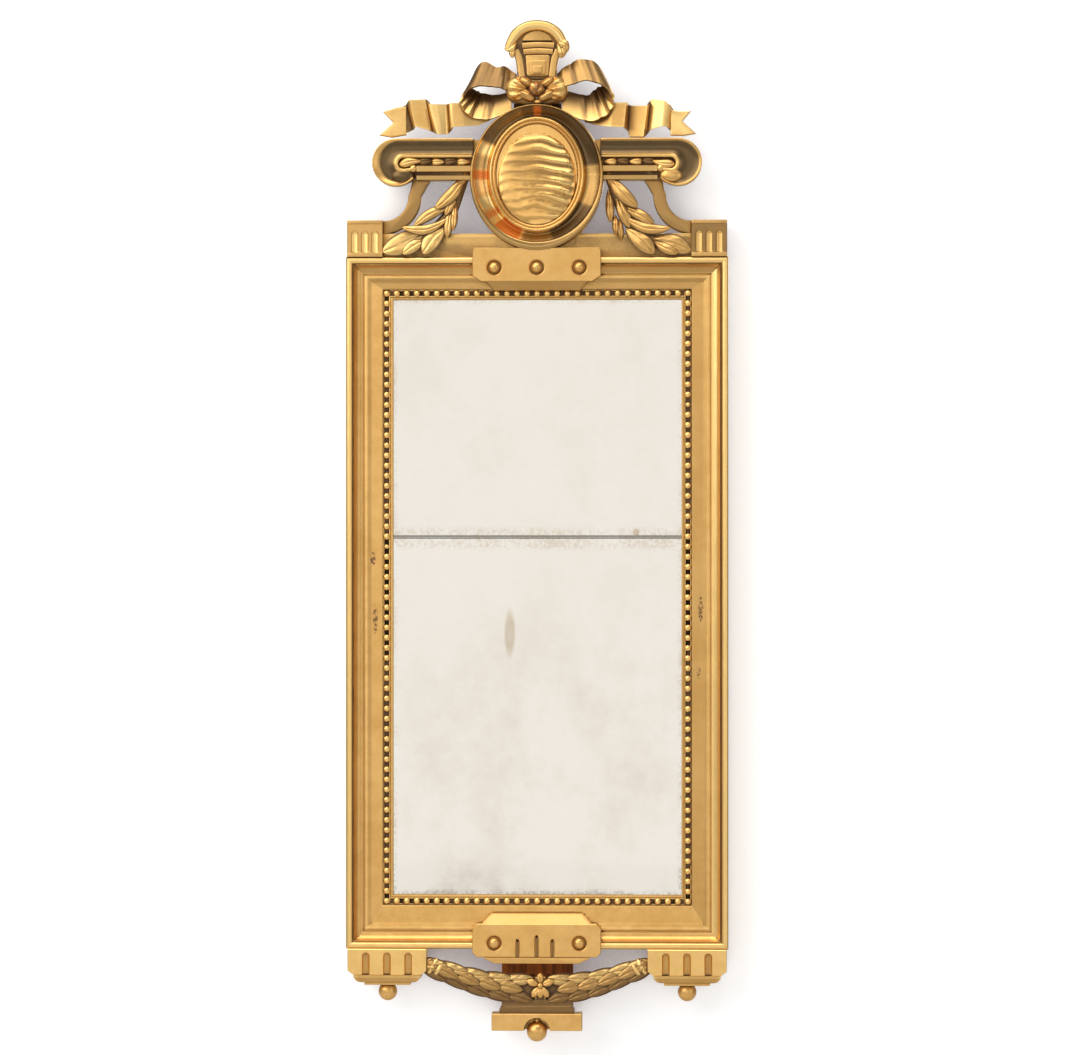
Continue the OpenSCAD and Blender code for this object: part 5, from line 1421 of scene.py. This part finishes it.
def garland(hand, leaves):
    """A fall of laurel leaves on a stem, the stem darkened by painted shade. The left one gets more painted
    highlight as it falls.
    """
    carving = Carving()
    stem_depth, bright_from, bright_over = 33, 60, 50
    stem = spline([(80, 514), (92, 482), (104, 456), (124, 434), (152, 421)], 8)
    thick = np.interp(np.linspace(0, 1, len(stem)), [0, 0.35, 0.75, 1], [1.3, 2.0, 3.0, 2.4])
    carving.moulding(flipped(stem, hand), round_bead(3.2, 1.2, 1), stem_depth, thick, tarnish=0.6)
    for base, tip, width, bend in leaves:
        base, tip = flipped([base, tip], hand)
        fall = min(1.0, (FRAME_TOP + bright_from - tip[1]) / bright_over) if hand < 0 else 0.0
        carving.leaf(base, tip, width * 1.2, crown=3.1, bend=bend * hand, arch=1.4, thick=5, full=0.58,
                     veins=3, rim=0.9, polish=0.05 + 0.4 * fall)
    return carving


class PIERMIRROR_OT_garlands(bpy.types.Operator):
    """Make the two laurel garlands beside the medallion"""

    bl_idname = "pier_mirror.garlands"
    bl_label = "Laurel Garlands"

    def execute(self, context):
        for (name, hand), leaves in zip(SIDES, (LEFT_LEAVES, RIGHT_LEAVES)):
            garland(hand, leaves).make(f"gilt_garland_{name}", "crest_gilding", f"garland_{name}")
        return {"FINISHED"}


# ---- Plaques ----


# The lower plaque's flutes: x, height above its lower edge, radius and cut.
LOWER_FLUTES = ((-22.5, 17.5, 2.4, 1.9), (0.0, 22.0, 2.4, 1.9), (18.5, 17.5, 2.4, 1.9))


def plaque(box, corners, flutes, studs, tarnish):
    """A plaque with cups for its studs and flutes that run out of its lower edge below pin holes. Painted
    shade darkens its cups and flutes, and the given share darkens the whole of it.
    """
    stud_r, cup_r, cup_depth = studs[0][2], studs[0][2] + 3.2, 2.4
    drawn = [(x, box.bottom - 1, box.bottom + high, radius, cut) for x, high, radius, cut in flutes]
    drawn += [(x, box.bottom + high + 2.2, box.bottom + high + 2.3, 1.6, 2.2) for x, high, _, _ in flutes]
    grid = face(box, box.front, drawn, corners, rounding=0.9, drop=0.8)
    for x, z, _ in studs:
        away = np.hypot(grid[..., 0] - x, grid[..., 1] - z)
        grid[..., 2] -= cup_depth * np.clip((cup_r - away) / 2.2, 0, 1)
    carving = Carving()
    hollow_share = np.clip((box.front - 0.5 - grid[..., 2]) / 1.5, 0, 1)
    carving.relief(grid, box.back + 0.5, tarnish=0.7 * hollow_share + tarnish)
    domes, base = Carving(), box.front - cup_depth
    profile = [(stud_r + 1.0, base - 1), (stud_r + 1.0, base + 0.1), (stud_r + 0.2, base + 0.5)]
    for a in np.radians(np.linspace(4, 86, 10)):
        profile.append((stud_r * math.cos(a), base + 0.4 + (stud_r * 0.92) * math.sin(a)))
    for x, z, _ in studs:
        domes.turning(profile, (x, z), steps=36)
    return carving, domes


def wedge(box, taper, wide_z, narrow_z, thick):
    """A sloping tablet, wide and thick at one edge and narrow and thin at the other."""
    thin, worn = 4.0, 0.9
    v = np.linspace(0, 1, 14)[:, None] + np.zeros(60)
    z = wide_z + (narrow_z - wide_z) * v
    left, right = box.left + taper * v, box.right - taper * v
    x = left + (right - left) * np.linspace(0, 1, 60)
    near = np.minimum.reduce([x - left, right - x, abs(z - wide_z) + 2, abs(z - narrow_z)])
    depth = FRIEZE_DEPTH + thick + (thin - thick) * v - worn * fading(near, 1.0) ** 2
    carving = Carving()
    carving.relief(np.dstack([x, z, depth]), box.back, tarnish=0.28)
    return carving


def plaque_foot(box):
    """The tapering foot under the lower plaque."""
    narrow = 14.0
    lower = [(box.right - 2, box.top - 2.5), (box.right - narrow, box.bottom)]
    lower += [(box.left + narrow, box.bottom), (box.left + 2, box.top - 2.5)]
    carving = Carving()
    carving.slab([(box.left, box.top), (box.right, box.top)] + lower, box.back, box.front, 1.2, 4)
    return carving


class PIERMIRROR_OT_plaques(bpy.types.Operator):
    """Make the upper and the lower plaque with their studs, cap, apron and foot"""

    bl_idname = "pier_mirror.plaques"
    bl_label = "Plaques and Studs"

    def execute(self, context):
        plaques = (
            ("top_plaque", 3, ((7, -1, 10.5), (3, 1, 2.2)), (), 0.12),
            ("bottom_plaque", 2, ((5, -1, 5), (5, 1, 5)), LOWER_FLUTES, 0.0),
        )
        for node, count, corners, flutes, tarnish in plaques:
            row = Box(node + "_studs")
            radius = row.height / 2
            studs = [(x, row.z, radius) for x in np.linspace(row.left + radius, row.right - radius, count)]
            board, domes = plaque(Box(node), corners, flutes, studs, tarnish)
            board.make("gilt_" + node, "matt_gilding", node)
            domes.make(f"gilt_{node}_studs", "matt_gilding", node + "_studs")
        cap, apron = Box("bottom_plaque_cap"), Box("top_plaque_apron")
        top = wedge(cap, 11.0, cap.bottom, cap.top, 15.0)
        top.make("gilt_plaque_cap", "matt_gilding", "bottom_plaque_cap")
        tablet = wedge(apron, 8.5, apron.top, apron.bottom, 14.0)
        tablet.make("gilt_plaque_apron", "matt_gilding", "top_plaque_apron")
        foot = plaque_foot(Box("bottom_plaque_foot"))
        foot.make("gilt_plaque_foot", "matt_gilding", "bottom_plaque_foot")
        return {"FINISHED"}


# ---- Apron ----


FESTOON = Box("festoon_right")
FESTOON_H = 37.0
SWAG_RISE = 29.5
SWAG_POWER = 2.1


def stepped(box, levels, **tones):
    """A stepped block through rectangles: each level is height, half width and half depth."""
    carving = Carving()
    rings = []
    for z, half_w, half_d in levels:
        side = rectangle(-half_w, half_w, -half_d, half_d)
        ring = []
        for a, b in zip(side, side[1:] + side[:1]):
            ring += [np.add(a, np.subtract(b, a) * share) for share in np.linspace(0, 1, 14, endpoint=False)]
        rings.append([(box.x + a, z, box.mid_depth + b) for a, b in ring])
    carving.tube(rings, **tones)
    return carving


def cove_levels(box, top, bottom, wide, narrow, depth_share, steps=8):
    """Levels of a hollow that draws a block in."""
    out = []
    for a in np.linspace(0, math.pi / 2, steps + 1):
        inset = wide + (narrow - wide) * (1 - math.cos(a))
        height = top + (bottom - top) * math.sin(a)
        out.append((height, box.width / 2 - inset, box.deep / 2 - inset * depth_share))
    return out


def ball_drop(box, crown, neck, start, steps, around):
    """A turned ball that reaches up to its crown, under a neck of (radius, height) points."""
    radius = box.width / 2
    profile = neck + arc((0, crown - radius), radius, start, -86, steps)
    carving = Carving()
    carving.turning(profile, (box.x, box.mid_depth), upright=True, steps=around)
    return carving


def swag(share, edge, end):
    """The middle and the thickness of the swag at a share of the way from its binding to its block."""
    x = edge + (end - edge) * share
    z = FESTOON.bottom + FESTOON_H / 2 + SWAG_RISE * share**SWAG_POWER
    return x, z, FESTOON_H * (1 - 0.52 * share**1.4)


def festoon_half(hand):
    """Half of the swag: overlapping laurel leaves that point to the binding, over a body darkened by painted
    shade.
    """
    box = Box("festoon_right" if hand > 0 else "festoon_left")
    edge = box.left if hand > 0 else -box.right
    end = max(abs(box.left), abs(box.right)) - 2
    carving = Carving()
    core, swell, around = 32, 6.5, np.radians(np.linspace(0, 180, 15))
    rings = []
    for share in np.linspace(0, 1, 30):
        x, z, thick = swag(share, edge, end)
        lean = math.atan(SWAG_POWER * SWAG_RISE * share**1.1 / (end - edge))
        half = thick / 2 - 2.5
        section = [(half * math.cos(a), core + swell * math.sin(a)) for a in around]
        section += [(-half, SPINE_FRONT), (half, SPINE_FRONT)]
        along, up = 0.6 * math.sin(lean), math.cos(lean)
        rings.append([(hand * (x - u * along), z + u * up, depth) for u, depth in section])
    carving.tube(rings, tarnish=0.75, dirt=0.5)
    festoon_leaves(carving, hand, edge, end)
    # Two bands where the swag meets its block, each with a painted highlight.
    lean, t, crown = math.radians(33), np.linspace(-1, 1, 9), 41.6
    for share in (0.90, 0.955):
        x, z, thick = swag(share, edge, end)
        reach = (thick / 2 + 0.6) * t
        line = np.column_stack([hand * (x - reach * math.sin(lean)), z + reach * math.cos(lean)])
        carving.moulding(line, round_bead(2.6, 2.0, 10), crown - 4.5 * t**2, polish=0.5)
    return carving


def festoon_leaves(carving, hand, edge, end):
    """Rows of three leaves, each row over the one beyond it: upper, lower and middle."""
    rows, overlap, back, front = 5, 0.34, 34.5, 39.5
    # A leaf's offset up the swag, width, how far it stands out, shift along, and its tones: painted highlight
    # and some painted shade on the upper leaves, painted shade on the others.
    kinds = (
        (0.33, 17.5, 0.0, 0.0, {"polish": 0.6, "tarnish": 0.38, "dirt": 0.22}),
        (-0.35, 17.5, 0.0, 0.0, {"tarnish": 0.65, "dirt": 0.42}),
        (-0.02, 18.5, 2.0, 0.5, {"tarnish": 0.38, "dirt": 0.22}),
    )
    for row in range(rows - 1, -1, -1):
        for offset, width, out, shift, tones in kinds:
            tip_at = (row + shift) / rows
            base_at = min(1.06, tip_at + overlap)
            on_swag = min(base_at, 1.0)
            tip_x, tip_z, thick = swag(tip_at, edge, end)
            base_x, base_z, base_thick = swag(on_swag, edge, end)
            base_x += (base_at - on_swag) * (end - edge)
            base = (hand * base_x, base_z + offset * base_thick * 0.75, back)
            tip = (hand * (tip_x + 1.0), tip_z + offset * thick * 1.08, front + out)
            bend = hand * (1.6 if offset > 0 else -1.6)
            carving.leaf(base, tip, width * (0.72 + 0.28 * thick / FESTOON_H), crown=3.8, bend=bend, arch=1.2,
                         thick=4, full=0.52, veins=4, rim=0.8, **tones)


def festoon_binding():
    """The binding in the middle of the swag, with a fan of small leaves and a boss."""
    box = Box("festoon_binding")
    carving = Carving()
    front = box.front - 3.0
    outline = softened(rectangle(box.left, box.right, box.bottom, box.top - 3), 2.0)
    carving.slab(outline, box.back, front - 4, 2.0, 4)
    x, z = box.x, box.z + 5
    for turn, reach in ((-90, 15), (-125, 17), (-55, 17), (160, 17), (20, 17), (90, 15)):
        c, s = math.cos(math.radians(turn)), math.sin(math.radians(turn))
        stalk, tip = (x + 2 * c, z + 2 * s, front - 1.5), (x + reach * c, z + reach * s, front - 1)
        carving.leaf(stalk, tip, 8.5, crown=2.0, arch=0.8, full=0.55, veins=4, rim=0.6)
    boss = [(3.2, front - 3), (3.2, front + 0.5), (2.6, front + 1.8), (1.2, front + 2.6), (0.1, front + 2.8)]
    carving.turning(boss, (x, z), steps=24)
    return carving


def bottom_block(hand):
    """A fluted block below the frame, its lower corners cut off. Painted shade darkens its flutes, and a
    painted highlight lightens its face.
    """
    box = Box("bottom_block_right")
    radius, cut = 4.3, 3.4
    flutes = [(box.x + x, box.bottom - 4, box.top - 4.4 - radius, radius, cut) for x in (-25, 0, 25)]
    grid = face(box, box.front, flutes, ((5.0, -1, 7.0),))
    in_flute = np.clip((box.front - grid[..., 2] - 0.8) / 1.2, 0, 1)
    carving = Carving()
    carving.relief(flipped(grid, hand), box.back, polish=0.55 * (1 - in_flute), dirt=0.42 * in_flute)
    return carving


def block_drop(box):
    """The stepped moulding below a corner block, darkened a little by painted shade."""
    w, d, foot_in, foot_back = box.width / 2, box.deep / 2, 12.5, 6.6
    levels = [(box.top, w, d), (box.top - 3.4, w, d), (box.top - 4.0, w - 0.5, d - 0.5)]
    levels += cove_levels(box, box.top - 4.2, box.bottom + 3.0, 1.6, 11.5, 0.55)
    levels += [(height, w - foot_in, d - foot_back) for height in (box.bottom + 2.8, box.bottom)]
    return stepped(box, levels, tarnish=0.2)


def pedestal():
    """The hollow moulding above the bottom plate, darkened by painted shade."""
    box = Box("drop_pedestal")
    w, d = box.width / 2, box.deep / 2
    levels = [(box.top + 7, w - 2.6, d - 4), (box.top, w - 2.5, d - 3)]
    levels += reversed(cove_levels(box, box.bottom + 3.2, box.top - 1.6, 0.0, 2.6, 0.6, 7))
    levels += [(box.bottom + 2.6, w, d), (box.bottom, w, d)]
    return stepped(box, levels, tarnish=0.8, dirt=0.25)


def plate():
    """The bottom plate, with a round recess behind its ball."""
    box = Box("drop_plate")
    recess = Box("ball_drop_centre").width / 2 + 3
    grid = face(box, box.front, rounding=0.9, drop=0.9)
    grid[..., 2] -= recess * 1.1 * (np.hypot(grid[..., 0], grid[..., 1] - box.bottom) < recess)
    carving = Carving()
    carving.relief(grid, box.back)
    return carving


class PIERMIRROR_OT_apron(bpy.types.Operator):
    """Make the apron: fluted blocks, drops, festoon, pedestal, plate and balls"""

    bl_idname = "pier_mirror.apron"
    bl_label = "Apron and Festoon"

    def execute(self, context):
        sunk = 2.7
        for name, hand in SIDES:
            bottom_block(hand).make(f"gilt_bottom_block_{name}", "matt_gilding", f"bottom_block_{name}")
            drop = Box(f"drop_moulding_{name}")
            block_drop(drop).make(f"gilt_drop_moulding_{name}", "matt_gilding", f"drop_moulding_{name}")
            neck = [(4.4, drop.bottom), (4.6, drop.bottom - 0.8), (3.9, drop.bottom - 1.6)]
            ball = ball_drop(Box(f"ball_drop_{name}"), drop.bottom + sunk, neck, 62, 19, 40)
            ball.make(f"gilt_ball_drop_{name}", "matt_gilding", f"ball_drop_{name}")
            festoon_half(hand).make(f"gilt_festoon_{name}", "matt_gilding", f"festoon_{name}")
        festoon_binding().make("gilt_festoon_binding", "matt_gilding", "festoon_binding")
        pedestal().make("gilt_drop_pedestal", "matt_gilding", "drop_pedestal")
        plate().make("gilt_drop_plate", "matt_gilding", "drop_plate")
        box = Box("ball_drop_centre")
        crown = box.bottom + box.width
        ball = ball_drop(box, crown, [(3.0, crown + 4)], 78, 23, 44)
        ball.make("gilt_ball_drop_centre", "matt_gilding", "ball_drop_centre")
        return {"FINISHED"}


# ---- Back ----


class PIERMIRROR_OT_back(bpy.types.Operator):
    """Finish the pine boards, battens, keys and blocks, and the ironwork"""

    bl_idname = "pier_mirror.back"
    bl_label = "Back and Ironwork"

    def execute(self, context):
        looks = {
            "pine_across": ("backboard_upper", "backboard_middle", "backboard_lower", "mitre_keys"),
            "pine_upright": ("crest_spine", "crest_dowels", "glass_blocks"),
            "stained_pine": ("apron_board",),
            "forged_iron": (
                "backboard_nails", "crest_screws", "apron_screws",
                "hanger_plate", "hanger_staple", "hanger_ring",
            ),
        }
        for look, nodes in looks.items():
            for node in nodes:
                slots = frame["nodes"][node].data.materials
                slots.clear()
                slots.append(finishes[look])
        return {"FINISHED"}


# ---- Patina ----


def sheltered(mesh, tree, reach):
    """How far each point is closed in, from 0 in the open to 1 in a deep hollow."""
    rays, golden_turn = 7, 2.399963
    lift, hidden = 0.25 * MM, -4 * MM
    out = np.zeros(len(mesh.vertices))
    for i, v in enumerate(mesh.vertices):
        if v.co.y > hidden:
            continue
        normal = v.normal
        side = normal.orthogonal().normalized()
        other = normal.cross(side)
        start = v.co + normal * lift
        for k in range(rays):
            turn, spread = k * golden_turn, math.sqrt((k + 0.5) / rays)
            sideways = (side * math.cos(turn) + other * math.sin(turn)) * (spread * 0.95)
            ray = normal * math.sqrt(1 - spread * spread * 0.9) + sideways
            distance = tree.ray_cast(start, ray, reach)[3]
            if distance is not None:
                out[i] += (1 - distance / reach) / rays
    return np.clip(out * 1.6, 0, 1)


def rubbed(mesh):
    """How much each point stands out from those around it, from 0 to 1."""
    count = len(mesh.vertices)
    places, normals = np.zeros((count, 3)), np.zeros((count, 3))
    mesh.vertices.foreach_get("co", places.ravel())
    mesh.vertices.foreach_get("normal", normals.ravel())
    edges = np.zeros(len(mesh.edges) * 2, int)
    mesh.edges.foreach_get("vertices", edges)
    a, b = edges.reshape(-1, 2).T
    run = unit(places[b] - places[a])
    total, links = np.zeros(count), np.zeros(count)
    for end, sign in ((a, -1), (b, 1)):
        np.add.at(total, end, sign * np.sum(normals[end] * run, axis=1))
        np.add.at(links, end, 1)
    return np.clip(total / np.maximum(links, 1) * 2.2, 0, 1)


class PIERMIRROR_OT_patina(bpy.types.Operator):
    """Work out where dust lies and where leaf is rubbed on each gilded piece"""

    bl_idname = "pier_mirror.patina"
    bl_label = "Dust and Wear"

    def execute(self, context):
        reach = context.scene.pier_mirror.carving.dust_reach
        meshes = [o.data for o in context.scene.objects if "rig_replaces" in o]
        points, faces = [], []
        for mesh in meshes:
            start = len(points)
            points += [v.co.copy() for v in mesh.vertices]
            faces += [[start + i for i in f.vertices] for f in mesh.polygons]
        tree = BVHTree.FromPolygons(points, faces)
        for mesh in meshes:
            set_shares(mesh, "recess", sheltered(mesh, tree, reach))
            set_shares(mesh, "rub", rubbed(mesh))
        return {"FINISHED"}


# ---- Stage ----


def sheet(name, corners, material):
    """A flat stage piece through four corners."""
    mesh = bpy.data.meshes.new(name)
    mesh.from_pydata(corners, [], [(0, 1, 2, 3)])
    piece = placed(name, mesh, material)
    return piece


def lamp(name, place, size, watts, tint):
    """A soft rectangular light aimed at the middle of the mirror."""
    middle = Vector((0.0, 0.0, 0.08))
    data = bpy.data.lights.new(name, "AREA")
    data.shape = "RECTANGLE"
    data.size, data.size_y = size
    data.energy, data.color = watts, tint
    light = bpy.data.objects.new(name, data)
    bpy.context.scene.collection.objects.link(light)
    light.location = place
    light.rotation_mode = "QUATERNION"
    light.rotation_quaternion = (middle - Vector(place)).to_track_quat("-Z", "Y")
    return light


def wall_paint():
    """Pale wall paint that shows on its front only, lifted so that shadows on it stay faint, and darkened by
    painted shade where it is closed in, as behind the crest's openings.
    """
    f = Finish("wall_paint")
    open_share = f.node("ShaderNodeAmbientOcclusion", {"samples": 6}, {"Distance": 0.09}, "AO")
    lit = f.step(open_share, 0.10, 0.52)
    shade, glow, white = (0.44, 0.42, 0.46, 1), (0.27, 0.255, 0.29, 1), (1, 1, 1, 1)
    pale = f.mix(f.grain(3, 3), (0.82, 0.82, 0.83, 1), (0.86, 0.86, 0.86, 1))
    sockets = {
        "Base Color": f.mix(lit, shade, pale),
        "Roughness": 0.9,
        "Emission Color": f.mix(lit, glow, white),
        "Emission Strength": 0.50,
    }
    paint = f.node("ShaderNodeBsdfPrincipled", None, sockets)
    behind = f.node("ShaderNodeNewGeometry", output="Backfacing")
    clear = f.node("ShaderNodeBsdfTransparent")
    return f.end(f.node("ShaderNodeMixShader", None, {0: behind, 1: paint, 2: clear}))


def floor_paint():
    """Pale floor paint."""
    f = Finish("floor_paint")
    return f.surface(f.mix(f.grain(4, 3), (0.80, 0.80, 0.79, 1), (0.84, 0.84, 0.83, 1)), 0.8)


def aimed_camera(stage):
    """The camera at the photograph's angle, aimed at the middle of its frame."""
    photo_w, photo_h = 1080, 1055
    axis_x, zero_y = 536.8, 603.0
    across, up = (photo_w / 2 - axis_x) * stage.pixel, (zero_y - photo_h / 2) * stage.pixel
    data = bpy.data.cameras.new("camera")
    data.sensor_width = 36.0
    data.lens = data.sensor_width * stage.distance / (photo_w * stage.pixel)
    camera = bpy.data.objects.new("camera", data)
    back = Vector((math.sin(stage.azimuth), -math.cos(stage.azimuth), 0.0))
    camera.location = Vector((across, -RAIL_DEPTH * MM, up)) + back * stage.distance
    camera.rotation_mode = "QUATERNION"
    camera.rotation_quaternion = (-back).to_track_quat("-Z", "Y")
    return camera


class PIERMIRROR_OT_stage(bpy.types.Operator):
    """Set up the wall, the floor, the lights and the camera"""

    bl_idname = "pier_mirror.stage"
    bl_label = "Studio"

    def execute(self, context):
        scene, stage = context.scene, context.scene.pier_mirror.stage
        wall_y, wall_half, floor_z, floor_half = 0.006, 6.0, -0.95, 9.0
        upright = rectangle(-wall_half, wall_half, floor_z, wall_half)
        wall = sheet("studio_wall", [(x, wall_y, z) for x, z in upright], wall_paint())
        wall.visible_shadow = wall.visible_diffuse = wall.visible_glossy = False
        lying = rectangle(-floor_half, floor_half, -floor_half, floor_half)
        sheet("studio_floor", [(x, y, floor_z) for x, y in lying], floor_paint())
        scene.world = bpy.data.worlds.new("studio_room")
        scene.world.use_nodes = True
        background = scene.world.node_tree.nodes["Background"]
        background.inputs["Color"].default_value = (1.0, 1.0, 1.0, 1.0)
        background.inputs["Strength"].default_value = stage.room
        card_white = (1.0, 0.99, 0.975)
        lamp("window_light", (-2.6, -2.4, 1.9), (3.6, 3.2), stage.key, (1.0, 0.985, 0.96))
        lamp("ceiling_card", (-0.2, -1.0, 2.8), (3.0, 1.6), stage.ceiling, card_white)
        front = lamp("front_card", (0.0, -7.5, 0.3), (5.5, 5.5), stage.front, card_white)
        right = lamp("right_card", (3.4, -2.8, 0.5), (1.8, 3.2), stage.right, (1.0, 0.97, 0.93))
        front.visible_diffuse = right.visible_diffuse = False
        lamp("back_light", (1.8, 3.4, 1.6), (2.5, 2.5), stage.back, (1.0, 0.99, 0.98))
        scene.view_settings.view_transform = "Standard"
        scene.camera = aimed_camera(stage)
        scene.collection.objects.link(scene.camera)
        return {"FINISHED"}


# ---- Add-on ----


OPERATORS = (
    PIERMIRROR_OT_finishes,
    PIERMIRROR_OT_frame,
    PIERMIRROR_OT_glass,
    PIERMIRROR_OT_crest,
    PIERMIRROR_OT_medallion,
    PIERMIRROR_OT_bow,
    PIERMIRROR_OT_garlands,
    PIERMIRROR_OT_plaques,
    PIERMIRROR_OT_apron,
    PIERMIRROR_OT_back,
    PIERMIRROR_OT_patina,
    PIERMIRROR_OT_stage,
)


class PIERMIRROR_PT_panel(bpy.types.Panel):
    """The pieces of the pier mirror, in the order in which they are made"""

    bl_idname = "PIERMIRROR_PT_panel"
    bl_label = "Pier Mirror"
    bl_space_type = "VIEW_3D"
    bl_region_type = "UI"
    bl_category = "Pier Mirror"

    def draw(self, context):
        for operator in OPERATORS:
            self.layout.operator(operator.bl_idname)
        settings = context.scene.pier_mirror
        for group in (settings.gilding, settings.plain, settings.frame, settings.carving, settings.stage):
            for name in group.__annotations__:
                self.layout.prop(group, name)


CLASSES = (
    GiltingColours, PlainColours, FrameSizes, CarvingSizes, StageSettings, PierMirrorSettings,
    *OPERATORS, PIERMIRROR_PT_panel,
)


def register():
    """Registers every class and adds the settings to the scene."""
    for item in CLASSES:
        bpy.utils.register_class(item)
    bpy.types.Scene.pier_mirror = PointerProperty(type=PierMirrorSettings)


def unregister():
    """Takes the settings and the classes away again."""
    del bpy.types.Scene.pier_mirror
    for item in reversed(CLASSES):
        bpy.utils.unregister_class(item)


def main():
    """Makes every piece in order."""
    register()
    for operator in OPERATORS:
        group, name = operator.bl_idname.split(".")
        getattr(getattr(bpy.ops, group), name)()


if __name__ == "__main__":
    main()
